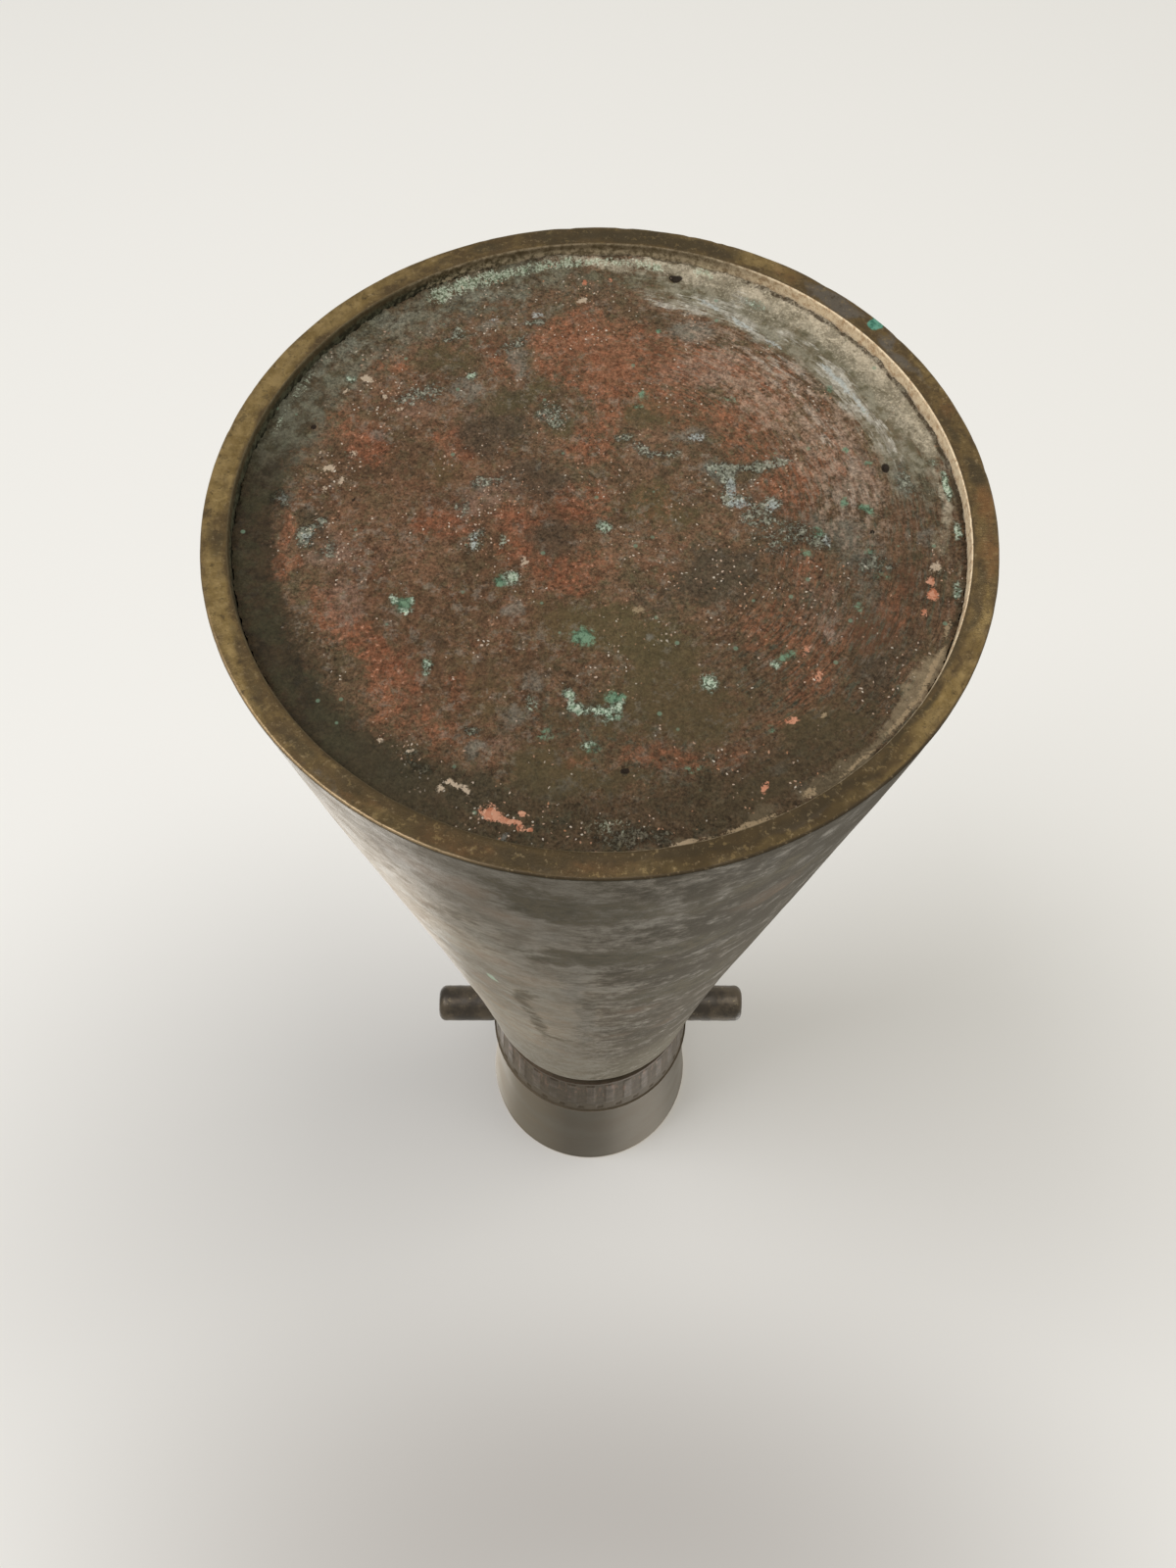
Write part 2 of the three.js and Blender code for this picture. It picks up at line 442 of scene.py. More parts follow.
# Sum of soft ovals: right, up, half width, half height, turn in degrees, strength
def ovals(tree, place, patches):
    total = 0.0
    for right, up, halfWidth, halfHeight, turn, strength in patches:
        local = addNode(
            tree,
            "ShaderNodeMapping",
            {
                "Vector": place,
                "Location": (right, up, 0),
                "Rotation": (0, 0, math.radians(turn)),
                "Scale": (halfWidth, halfHeight, 1000),
            },
            vector_type="TEXTURE",
        )
        away = vectorMaths(tree, "LENGTH", local.outputs[0], result="Value")
        weight = between(tree, away, ovalEdges["none"], ovalEdges["full"], strength)
        total = maths(tree, "ADD", weight, total)
    return total


def broken(tree, mask, texture, amount, edge):  # a mask broken up by a texture
    ragged = maths(tree, "MULTIPLY_ADD", texture, amount, -amount / 2)
    total = maths(tree, "ADD", mask, ragged)
    inReach = between(tree, mask, 0, 0.3)
    return times(tree, between(tree, total, 0.5 - edge, 0.5 + edge), inReach)


def setBump(tree, shader, height, depth):  # depth in millimetres
    bump = addNode(tree, "ShaderNodeBump", {"Height": height, "Distance": depth * mm})
    tree.links.new(bump.outputs[0], shader.inputs["Normal"])


bronzeGloss = {"Specular IOR Level": 0.25, "Specular Tint": (0.92, 0.85, 0.76, 1)}
plateGloss = {"Metallic": 0.08, "Specular IOR Level": 0.12, "Specular Tint": (1, 0.92, 0.8, 1)}


# Body: a tapered shell with a standing ring, a rebate for the base plate and a socket for the neck

bodyShape = {
    "segments": 384,
    "waistRadius": 30.1,
    "footSlope": -0.107,
    "waistSlope": -0.076,
    "wallThickness": 3,
    "landWidth": 3.8,
    "footEdge": 0.4,
    "rebateEdge": 0.3,
    "waistEdge": 2,
    "ledgeRadius": 46,
    "ledgeBottom": 5.1,
    "ledgeTop": 8.1,
    "socketRadius": 27.1,
    "socketBottom": 212,
    "stopRadius": 24,
    "stopBottom": 209,
    "footRows": (1.2, 9, 9),  # from, to and how many, close together near the foot
    "sideLow": 11,
    "sideRows": 80,
    "ringHeight": 2.4,
    "wear": [  # name, size, height, depth and group of vertices
        ("hammering", 34, 0.35, 2, "skin"),
        ("skinWear", 5, 0.06, 3, "skin"),
        ("ringWear", 6, 0.1, 2, "ring"),
        ("ringGrain", 0.9, 0.04, 2, "ring"),
    ],
    "nicks": 26,
    "nickSizes": (0.5, 1.1),
    "nickPush": (0.05, 0.12),  # inwards and upwards
    "ringSwirls": [(5, 1.2), (1.6, 0.5)],
    "sideSwirls": [(12, 2.5), (4, 1)],
}

footRadius = bodyTop.x
waistHeight = bodyTop.z
rebateRadius = footRadius - bodyShape["landWidth"]
bodyOuter = taper(
    0,
    footRadius,
    bodyShape["footSlope"],
    waistHeight,
    bodyShape["waistRadius"],
    bodyShape["waistSlope"],
)


def bodyInner(height):
    return bodyOuter(height) - bodyShape["wallThickness"]


def makeBody(material):
    shape = bodyShape
    edge, inEdge, waistEdge = shape["footEdge"], shape["rebateEdge"], shape["waistEdge"]
    ledge, ledgeBottom, ledgeTop = shape["ledgeRadius"], shape["ledgeBottom"], shape["ledgeTop"]
    stop, stopBottom = shape["stopRadius"], shape["stopBottom"]
    socket, socketBottom = shape["socketRadius"], shape["socketBottom"]
    ledgeShoulder = ledgeTop + (bodyInner(ledgeTop) - ledge) / 2
    stopShoulder = stopBottom - (bodyInner(stopBottom) - stop) / 2
    outline = [
        *run((rebateRadius, ledgeBottom), (rebateRadius, inEdge + 0.05), 14),
        *arc(rebateRadius + inEdge, inEdge, inEdge, 180, 270, 3),
        *run((rebateRadius + 2 * inEdge, 0), (footRadius - 1.5 * edge, 0), 8),
        *arc(footRadius - edge, edge, edge, -90, 0, 6),
        *wall(bodyOuter, *shape["footRows"]),
        *wall(bodyOuter, shape["sideLow"], waistHeight - 1.5 * waistEdge, shape["sideRows"]),
        *arc(shape["waistRadius"] - waistEdge, waistHeight - waistEdge, waistEdge, 0, 90, 6),
        (socket, waistHeight),
        *run((socket, waistHeight - 1), (socket, socketBottom), 3),
        (stop, socketBottom),
        (stop, stopBottom),
        *wall(bodyInner, stopShoulder, ledgeShoulder, 24),
        (ledge, ledgeTop),
        (ledge, ledgeBottom),
    ]
    body = turnPiece("bodyShell", outline, shape["segments"])
    groupVertices(body, "skin", lambda place: min(max(place.z - 1, 0) / 6, 1))
    groupVertices(body, "ring", lambda place: 1 if place.z < shape["ringHeight"] else 0)
    for wear in shape["wear"]:
        roughen(body, *wear)
    chance = random.Random(4)
    inward, upward = shape["nickPush"]
    nicks = []
    for _ in range(shape["nicks"]):
        angle = chance.uniform(0, 2 * math.pi)
        radius = footRadius - chance.choice([0.2, 0.3, 0.4, shape["landWidth"]])
        cosine, sine = math.cos(angle), math.sin(angle)
        push = (-inward * cosine, -inward * sine, upward)
        place = (radius * cosine, radius * sine, 0.1)
        nicks.append((place, chance.uniform(*shape["nickSizes"]), push))
    dentPiece(body, nicks)
    ringOvals = {name: aroundRing(patches) for name, patches in ringMarks.items()}
    markPiece(body, ringOvals, shape["ringSwirls"])
    markPiece(body, sideMarks, shape["sideSwirls"], unrolled)
    finishPiece(body, "body", material)


# Base plate: a disc let into the foot, its face crusted and pitted

plateShape = {
    "rimSpans": 64,
    "cuts": 3,
    "coveWidth": 1.5,
    "coveRise": 0.5,
    "coveLumps": (0.45, (0.9, 0.35), (0.5, 1.7)),  # level, then height and frequency of waves
    "rimReach": 0.26,
    "rimLumps": (0.15, (0.5, 0.6), (0.4, 2.3)),
    "wear": [
        ("plateSwell", 16, 0.22, 2, "face"),
        ("plateCrust", 2.6, 0.2, 3, "face"),
        ("plateGrain", 1, 0.1, 2, "face"),
    ],
    "fieldSwirls": [(9, 2.2), (2.2, 0.9)],
    "smallSwirls": [(1.3, 0.35)],
    # verdigris lumps: right, up, radius, rise
    "lumps": [
        (-26.8, -14.2, 1.2, 0.35), (-12.5, -10.2, 1.7, 0.35), (-2, -19.2, 2.2, 0.4),
        (-3.2, -29.4, 2.2, 0.45), (1.6, -30, 2.2, 0.3), (0.5, -1.3, 1.5, 0.25),
        (-22.5, -23.5, 1.3, 0.25), (-19, 26.2, 0.8, 0.25), (-12.5, -45.2, 2.2, 0.4),
        (-9.8, -46.2, 1.4, 0.35), (45.3, -10, 0.9, 0.35), (45.4, -12, 1, 0.35),
        (46, -8.4, 1.1, 0.3), (44, -15.4, 0.7, 0.3), (-35, 24.5, 1, 0.3),
        (14.3, -26, 1.2, 0.25), (-2.4, 45.4, 0.6, 0.3),
    ],
    # pinholes: right, up, radius, depth
    "pinholes": [
        (12, 46.3, 1, 0.7), (41, 9.2, 0.8, 0.6), (3, -39.2, 0.6, 0.5), (-41.7, 16.5, 0.6, 0.4),
    ],
}


def uneven(place, level, *waves):  # level plus noise by each wave's height and frequency
    for height, frequency in waves:
        level += height * noise.noise(place * frequency)
    return max(0, level)


def makePlate(material):
    shape = plateShape
    rim = plateTop.x
    faceHeight, thickness = plateLow.z, plateTop.z - plateLow.z
    clearSelection()
    bpy.ops.mesh.primitive_circle_add(
        vertices=shape["rimSpans"] * 4, radius=rim * mm, location=(0, 0, faceHeight * mm)
    )
    plate = bpy.context.object
    plate.name = "basePlateFace"
    plate.data.name = plate.name
    bpy.ops.object.transform_apply()
    bpy.ops.object.mode_set(mode="EDIT")
    bpy.ops.mesh.select_all(action="SELECT")
    bpy.ops.mesh.fill_grid(span=shape["rimSpans"])
    bpy.ops.mesh.select_all(action="SELECT")
    bpy.ops.mesh.subdivide(number_cuts=shape["cuts"])
    bpy.ops.mesh.select_mode(type="EDGE")
    bpy.ops.mesh.select_all(action="DESELECT")
    bpy.ops.mesh.select_non_manifold()
    bpy.ops.mesh.extrude_region_move(TRANSFORM_OT_translate={"value": (0, 0, thickness * mm)})
    bpy.ops.mesh.edge_face_add()
    bpy.ops.mesh.select_mode(type="VERT")
    bpy.ops.mesh.select_all(action="SELECT")
    bpy.ops.mesh.normals_make_consistent(inside=False)
    bpy.ops.object.mode_set(mode="OBJECT")

    groupVertices(plate, "face", lambda place: 1 if place.z < faceHeight + 0.1 else 0)
    for vertex in plate.data.vertices:  # the crust climbs a little where plate and ring meet
        place = vertex.co / mm
        near = (place.xy.length - rim + shape["coveWidth"]) / shape["coveWidth"]
        if near > 0 and place.z <= faceHeight + 0.1:
            lumpy = uneven(place, *shape["coveLumps"])
            vertex.co.z -= near * near * lumpy * shape["coveRise"] * mm
    for wear in shape["wear"]:
        roughen(plate, *wear)
    for vertex in plate.data.vertices:  # the rim reaches raggedly towards the wall
        place = vertex.co / mm
        radius = place.xy.length
        if radius > rim - 0.05:
            reach = min(uneven(place, *shape["rimLumps"]), shape["rimReach"])
            vertex.co.xy *= (rim + reach) / radius
    dents = []
    for name, side in (("lumps", -1), ("pinholes", 1)):
        for right, up, size, depth in shape[name]:
            dents.append(((-right, up, faceHeight), size, (0, 0, side * depth)))
    dentPiece(plate, dents)
    markPiece(plate, plateMarks, shape["fieldSwirls"])
    markPiece(plate, smallMarks, shape["smallSwirls"])
    finishPiece(plate, "base_plate", material, 60)


# Neck: a flared tube with a spigot in the body's socket, bored for the ears' tenons

neckShape = {
    "segments": 256,
    "step": 3.3,
    "footSlope": 0.066,
    "mouthSlope": 0.088,
    "wallThickness": 2.8,
    "lip": 0.8,
    "spigotBottom": 212.3,
    "tenonHole": 3.3,
    "wear": [("neckUneven", 26, 0.25, 1, "flare"), ("neckGrain", 3, 0.02, 2, "flare")],
}

neckFootRadius = bodyShape["waistRadius"] - neckShape["step"]
mouthHeight = neckTop.z
mouthRadius = neckTop.x
neckOuter = taper(
    waistHeight,
    neckFootRadius,
    neckShape["footSlope"],
    mouthHeight,
    mouthRadius,
    neckShape["mouthSlope"],
)


def neckInner(height):
    return neckOuter(height) - neckShape["wallThickness"]


def boreThrough(piece, radius, length, height):
    bore = turnPiece("bore", [(radius, -length), (radius, length)], 48, alongX=True, solid=True)
    raisePiece(bore, height)
    cutWith(piece, bore, "tenonHoles")


def makeNeck(material, earHeight):
    shape = neckShape
    lip, thickness, bottom = shape["lip"], shape["wallThickness"], shape["spigotBottom"]
    outline = [
        (neckFootRadius - thickness, bottom),
        *run((neckFootRadius, bottom), (neckFootRadius, waistHeight - 1), 3),
        *wall(neckOuter, waistHeight, mouthHeight - 1.5, 44),
        *arc(mouthRadius - lip, mouthHeight - lip, lip, 0, 90, 5),
        (mouthRadius - thickness / 2, mouthHeight),
        *arc(mouthRadius - thickness + lip, mouthHeight - lip, lip, 90, 180, 5),
        *wall(neckInner, mouthHeight - 1.5, waistHeight, 36),
    ]
    neck = turnPiece("neckFlare", outline, shape["segments"])
    groupVertices(neck, "flare", lambda place: 1 if place.z > waistHeight + 2 else 0)
    for wear in shape["wear"]:
        roughen(neck, *wear)
    boreThrough(neck, shape["tenonHole"], mouthRadius, earHeight)
    finishPiece(neck, "neck", material)


# Relief band: a collar round the neck with upright strokes and a row of punched dots

bandShape = {
    "strokes": 32,
    "columns": 12,
    "border": 1.4,
    "thickness": 0.8,
    "relief": 0.5,
    "fit": 0.3,
    # columns wide, lowest, highest, shift in pitches, inset and push
    "strokeBlocks": (6, 236.6, 255.2, 0, 0.35, 0.2),
    "dotBlocks": (4, 257.4, 260.4, 0.5, 0.25, -0.25),
    "wear": ("bandWear", 1.6, 0.16, 2, "relief"),
}


def bandGround(height):
    return neckOuter(height) + bandShape["fit"] + bandShape["thickness"]


def bandFace(height):
    return bandGround(height) + bandShape["relief"]


def makeBand(material, earHeight):
    shape = bandShape
    low, high, border = bandLow.z, bandTop.z, shape["border"]

    def bandBack(height):
        return neckOuter(height) + shape["fit"]

    outline = [
        (bandBack(low), low),
        (bandFace(low) - 0.2, low),
        *wall(bandFace, low + 0.2, low + border, 2),
        *wall(bandGround, low + border + 0.25, high - border - 0.25, 26),
        *wall(bandFace, high - border, high - 0.7, 2),
        (bandGround(high), high),
        *wall(bandBack, high, low + 3, 6),
    ]
    band = turnPiece("reliefBand", outline, shape["strokes"] * shape["columns"])
    pitch = 2 * math.pi / shape["strokes"]

    def insetBlocks(columns, lowest, highest, shift, inset, push):
        bpy.ops.mesh.select_all(action="DESELECT")
        bpy.ops.object.mode_set(mode="OBJECT")
        half = columns / shape["columns"] / 2
        for face in band.data.polygons:
            centre = face.center / mm
            turn = math.atan2(centre.y, centre.x) / pitch + shift
            offCentre = abs(turn - round(turn))
            outward = face.normal.dot(Vector((centre.x, centre.y, 0)).normalized()) > 0.8
            face.select = outward and offCentre < half and lowest < centre.z < highest
        bpy.ops.object.mode_set(mode="EDIT")
        bpy.ops.mesh.select_mode(type="FACE")
        bpy.ops.mesh.inset(thickness=inset * mm, depth=push * mm)

    def onRelief(place):
        return 1 if place.xy.length > bandGround(place.z) - 0.1 else 0

    takeUp(band)
    bpy.ops.object.mode_set(mode="EDIT")
    insetBlocks(*shape["strokeBlocks"])
    insetBlocks(*shape["dotBlocks"])
    bpy.ops.mesh.select_mode(type="VERT")
    bpy.ops.object.mode_set(mode="OBJECT")
    groupVertices(band, "relief", onRelief)
    roughen(band, *shape["wear"])
    boreThrough(band, neckShape["tenonHole"], mouthRadius, earHeight)
    finishPiece(band, "relief_band", material, 50)


# Ears: round lugs seated on the collar, each with a tenon headed over inside the neck

earShape = {
    "segments": 96,
    "radius": 5.5,
    "edge": 2.2,
    "tenonRadius": 3,
    "headRadius": 4.2,
    "headThickness": 1.2,
    "headEdge": 0.5,
    "seatEdge": 0.25,
    "fit": 0.3,
    "wear": [("Uneven", 5, 0.3, 2, "shank"), ("Grain", 1.2, 0.1, 2, "shank")],
}


def makeEar(name, node, side, material, earHeight):
    shape = earShape
    radius, edge, tip = shape["radius"], shape["edge"], earTop.x
    shoulder = bandFace(earHeight) + shape["fit"]
    headInner = earLow.x
    headFace = headInner + shape["headThickness"]
    tenon, head = shape["tenonRadius"], shape["headRadius"]
    headEdge, seatEdge = shape["headEdge"], shape["seatEdge"]
    centre = 0.4  # where the ends are filled
    outline = [
        (centre, headInner),
        (head - 2 * headEdge, headInner),
        *arc(head - headEdge, headInner + headEdge, headEdge, -90, 0, 3),
        (head, headFace),
        (tenon, headFace),
        (tenon, shoulder),
        *run((tenon + 0.5, shoulder), (radius - 0.2, shoulder), 4),
        *arc(radius - seatEdge, shoulder + 1, seatEdge, -20, 0, 2),
        *run((radius, shoulder + 1.6), (radius, tip - edge), 16),
        *arc(radius - edge, tip - edge, edge, 0, 90, 10)[1:],
        *run((radius - edge - 0.4, tip), (centre, tip), 6),
    ]
    ear = turnPiece(name, outline, shape["segments"], alongX=True, solid=True)
    raisePiece(ear, earHeight)
    for vertex in ear.data.vertices:  # the seat follows the collar
        place = vertex.co / mm
        if abs(place.x - shoulder) < 0.01:
            seat = bandFace(place.z) + shape["fit"]
            vertex.co.x = math.sqrt(seat * seat - place.y * place.y) * mm
    groupVertices(ear, "shank", lambda place: min(max(place.x - shoulder - 2, 0), 1))
    if side < 0:
        editAll(ear)
        bpy.ops.transform.rotate(value=math.pi, orient_axis="Z", center_override=(0, 0, 0))
        bpy.ops.object.mode_set(mode="OBJECT")
    for suffix, *wear in shape["wear"]:
        roughen(ear, name + suffix, *wear)
    finishPiece(ear, node, material)


# Solder runs: lumpy beads inside, at the base plate and at the spigot

solderShape = {
    "segments": 192,
    "baseLeg": 3,
    "baseHollow": [(0.2, 0.66), (0.4, 0.4), (0.66, 0.2)],  # shares of the leg, inwards and up
    "neckRadius": 1.6,
    "fit": 0.3,
    "baseWear": ("baseSolderLumps", 5, 0.5, 2),
    "neckWear": ("neckSolderLumps", 4, 0.4, 2),
}


def makeSolder(material):
    shape = solderShape
    outer = bodyShape["ledgeRadius"] - shape["fit"]
    bottom = plateTop.z + shape["fit"]
    leg = shape["baseLeg"]
    outline = [
        (outer - leg, bottom),
        *run((outer - leg + 0.3, bottom), (outer, bottom), 2),
        (outer, bottom + leg),
        *[(outer - leg * inwards, bottom + leg * up) for inwards, up in shape["baseHollow"]],
    ]
    base = turnPiece("basePlateSolder", outline, shape["segments"])
    roughen(base, *shape["baseWear"])
    finishPiece(base, "base_solder", material, 60)
    seam = neckFootRadius - neckShape["wallThickness"] - shape["fit"]
    outline = arc(seam, bodyShape["socketBottom"], shape["neckRadius"], 90, 270, 8)
    bead = turnPiece("neckSolderBead", outline, shape["segments"])
    roughen(bead, *shape["neckWear"])
    finishPiece(bead, "neck_solder", material, 60)


# Patina of the body, with the worn standing ring and the crusted rebate wall, and painted highlight
# and shade on the body's sides and the rebate wall

# Each patch is azimuth, radius, half angle, half width, strength
ringMarks = {
    "ringDark": [
        (7, 53, 3, 1.6, 0.9), (16, 52.5, 5, 1, 0.6), (72, 52.6, 8, 1.6, 0.7),
        (84, 53.2, 8, 2, 0.9), (97, 53, 7, 2, 0.7), (109, 53.4, 3, 1.4, 0.7),
        (116, 53, 2.5, 1.2, 0.5), (187, 53.2, 4, 1.2, 0.6), (205, 52.5, 6, 0.8, 0.4),
        (214, 52.8, 4, 1.2, 0.5), (224, 53, 5, 1.2, 0.6), (233, 52.4, 3, 1.1, 0.6),
        (247, 53.6, 3, 1, 0.4), (259, 53.2, 4, 1.5, 0.9), (268, 52.3, 6, 1, 0.6),
        (282, 52.2, 8, 0.9, 0.7), (300, 52.2, 9, 1.1, 0.9), (318, 52, 9, 0.8, 0.7),
        (332, 52, 8, 0.8, 0.6), (346, 52.3, 8, 1.1, 0.5),
    ],
    "ringGold": [
        (28, 54.2, 8, 0.7, 0.5), (62, 53.2, 6, 1.6, 0.75), (78, 54.4, 6, 0.6, 0.5),
        (120, 53.4, 7, 1.8, 0.5), (135, 53.2, 9, 2.2, 0.8), (152, 53.2, 12, 2.4, 0.9),
        (172, 53.2, 12, 2.4, 0.9), (196, 53.4, 10, 1.8, 0.85), (212, 54, 8, 1, 0.7),
        (240, 53.8, 6, 1.2, 0.6), (276, 54, 8, 1, 0.65), (292, 54.2, 8, 0.9, 0.7),
        (308, 54, 8, 1, 0.75), (324, 53.8, 9, 1.3, 0.8), (340, 53.9, 8, 1.1, 0.6),
    ],
    "ringViolet": [
        (31, 52.4, 6, 0.9, 0.7), (36, 53.2, 2, 1.5, 0.6), (48, 53, 6, 1.5, 1),
        (230, 54.2, 5, 0.7, 0.4), (298, 52.8, 5, 1, 0.6), (262, 54, 2.5, 0.8, 0.5),
    ],
    "ringRust": [
        (1, 53.2, 3.5, 1.6, 0.8), (20, 53.6, 4, 1.2, 0.4), (57, 52.6, 3, 1.4, 0.5),
        (250, 53, 6, 1.6, 0.8), (270, 53.4, 6, 1.4, 0.7), (236, 53.4, 3, 1.2, 0.5),
        (352, 53.4, 5, 1.4, 0.7),
    ],
    "ringGreen": [(40.4, 53.9, 1.5, 1.5, 1.2), (39.4, 54.8, 3.4, 0.45, 0.45)],
}

# On the side, where 8 to the right is 10 degrees of azimuth and up is height
sideMarks = {
    "sideDark": [
        (205, 12, 5, 12.8, 0, 0.26), (214, 16, 9, 8, -6, 0.66), (226, 20, 7, 6.4, 6, 0.58),
        (236, 14, 6, 4.8, 0, 0.64), (222, 47, 9, 7.2, 4, 0.92), (211, 50, 7, 6.4, -4, 0.64),
        (232, 46, 5, 4.8, 0, 0.74), (196, 40, 6, 5, 20, 0.26), (228, 64, 9, 3.2, 0, 0.55),
        (238, 60, 4, 3.2, 0, 0.46), (232, 90, 9, 9.6, 12, 0.83), (240, 96, 5, 11.2, 20, 0.64),
        (223, 88, 4, 4, 0, 0.55), (216, 88, 3, 4.8, 0, 0.37), (202, 95, 3, 8, 20, 0.46),
        (201, 128, 2.4, 32, 0, 0.51), (222, 122, 3.6, 6.4, 0, 0.46),
        (226, 134, 3, 3.2, 0, 0.37), (228, 164, 7, 8, 0, 0.55), (238, 158, 5, 9.6, 15, 0.37),
        (216, 158, 8, 4.8, 0, 0.46), (206, 150, 6, 4.8, 0, 0.37), (244, 24, 5, 3.2, 30, 0.55),
        (252, 40, 5, 3.8, 30, 0.55), (262, 66, 5, 4.8, 40, 0.46), (268, 112, 5, 8, 30, 0.46),
        (20, 60, 12, 11.2, 10, 0.34), (60, 130, 10, 12.8, -10, 0.34),
        (100, 40, 12, 9.6, 0, 0.34), (134, 96, 9, 16, 0, 0.3), (10, 168, 8, 9.6, 0, 0.3),
        (90, 190, 12, 8, 0, 0.3), (40, 20, 10, 8, 0, 0.34), (120, 150, 8, 8, 10, 0.3),
    ],
    "sideColumn": [
        (213.4, 82, 2.2, 26, 0, 1.5), (213.6, 112, 1.8, 18, 0, 1.6), (213, 142, 1.8, 16, 0, 1.2),
    ],
    "sideRosy": [
        (197, 14, 7, 7, 10, 0.6), (204, 26, 6, 5, 0, 0.5), (238, 30, 6, 5, 0, 0.4),
        (198, 66, 7, 7, 0, 0.5), (206, 74, 6, 5, 0, 0.4), (226, 106, 6, 5, 0, 0.4),
        (222, 142, 5, 4, 0, 0.4), (236, 142, 6, 5, 0, 0.4), (190, 100, 6, 9, 10, 0.5),
        (70, 80, 10, 9, 0, 0.5), (110, 110, 9, 9, 0, 0.5), (30, 120, 10, 9, 0, 0.5),
        (140, 30, 8, 8, 0, 0.5),
    ],
    "sideVerdigris": [
        (194.8, 88.5, 1, 3, -20, 1.2), (176, 24, 1, 1.6, 0, 0.9), (198, 17, 0.8, 1.2, 0, 0.8),
    ],
}


# Screen colours of the body. A pair runs from its first colour to its second
bodyPaints = {
    "skin": ((67, 61, 50), (98, 89, 76)),
    "brown": (102, 84, 69),
    "green": (72, 69, 55),
    "nearFootShade": (46, 42, 32),
    "rightSideShade": (38, 35, 27),
    "rosy": (124, 104, 88),
    "dark": ((48, 47, 36), (80, 74, 60)),
    "column": (54, 49, 38),
    "stray": (58, 55, 43),
    "waist": (108, 103, 89),
    "fineLight": (138, 126, 108),
    "fineDark": (46, 42, 34),
    "verdigris": (150, 176, 156),
    "inside": (62, 56, 44),
}

ringPaints = {
    "ground": ((80, 65, 43), (100, 82, 52)),
    "gold": ((112, 92, 54), (142, 120, 78)),
    "rust": (118, 84, 52),
    "violet": (92, 86, 78),
    "dark": (62, 54, 39),
    "front": (56, 46, 31),
    "darkBlots": (64, 53, 36),
    "paleBlots": (128, 108, 72),
    "innerEdge": (70, 58, 40),
    "dullEdge": (48, 40, 28),
    "wornEdgeHighlight": (190, 162, 122),
    "fineDark": (58, 49, 36),
    "fineLight": (158, 138, 104),
    "green": ((48, 96, 78), (92, 140, 118)),
}

rebatePaints = {
    "ground": ((60, 54, 40), (96, 88, 66)),
    "mossy": ((50, 48, 34), (88, 88, 68)),
    "sand": ((122, 108, 82), (192, 174, 142)),
    "limeAndLitSide": ((200, 166, 126), (255, 232, 192)),
    "dulled": (88, 74, 50),
    "fineDark": (92, 66, 44),
}


def bodySkin(tree, direction, height, broad, middle, fine, dashes):
    paints = bodyPaints
    torn = mixValue(tree, 0.4, middle, dashes)
    skin = twoTone(tree, broad, 0.38, 0.62, paints["skin"])
    skin = tinted(tree, skin, middle, 0.52, 0.68, 0.4, paints["brown"])
    skin = tinted(tree, skin, middle, 0.48, 0.34, 0.45, paints["green"])
    # painted highlight: the left side made lighter at middle heights, a painted reflection of the
    # satin metal
    midHeight = times(tree, between(tree, height, 215, 150), between(tree, height, 0, 60))
    paintedSheenLeft = times(tree, towards(tree, direction, 212, 40, 22), midHeight)
    skin = brighten(tree, paintedSheenLeft, skin, 2.15)
    skin = brighten(tree, towards(tree, direction, 80, 84, 34), skin, 1.3)
    # painted shade: the front darker near the foot, where the metal reflects less light
    nearFootShade = times(tree, towards(tree, direction, 284, 34, 20), between(tree, height, 110, 10))
    nearFootShade = broken(tree, nearFootShade, torn, 2.4, 0.5)
    skin = coat(tree, skin, nearFootShade, 0.8, paints["nearFootShade"])
    # painted shade: the right side made darker
    rightSideShade = times(tree, towards(tree, direction, 310, 28, 24), 0.85)
    rightSideShade = broken(tree, rightSideShade, torn, 4, 0.45)
    skin = coat(tree, skin, rightSideShade, 0.75, paints["rightSideShade"])
    rosy = broken(tree, marked(tree, "sideRosy"), torn, 2, 0.45)
    skin = coat(tree, skin, rosy, 0.6, paints["rosy"])
    dark = broken(tree, marked(tree, "sideDark"), torn, 3.6, 0.5)
    skin = coat(tree, skin, dark, 0.8, twoTone(tree, dashes, 0.4, 0.62, paints["dark"]))
    column = broken(tree, times(tree, marked(tree, "sideColumn"), 0.6), dashes, 4, 0.35)
    skin = coat(tree, skin, column, 0.8, paints["column"])
    stray = times(tree, between(tree, dashes, 0.62, 0.68), between(tree, broad, 0.5, 0.6))
    skin = coat(tree, skin, stray, 0.5, paints["stray"])
    skin = tinted(tree, skin, height, 168, 200, 0.5, paints["waist"])
    skin = tinted(tree, skin, fine, 0.6, 0.75, 0.4, paints["fineLight"])
    skin = tinted(tree, skin, fine, 0.44, 0.32, 0.5, paints["fineDark"])
    leaked = broken(tree, marked(tree, "sideVerdigris"), fine, 1, 0.2)
    skin = mixPaint(tree, leaked, skin, paints["verdigris"])
    return skin, torn, maths(tree, "MAXIMUM", dark, rightSideShade)


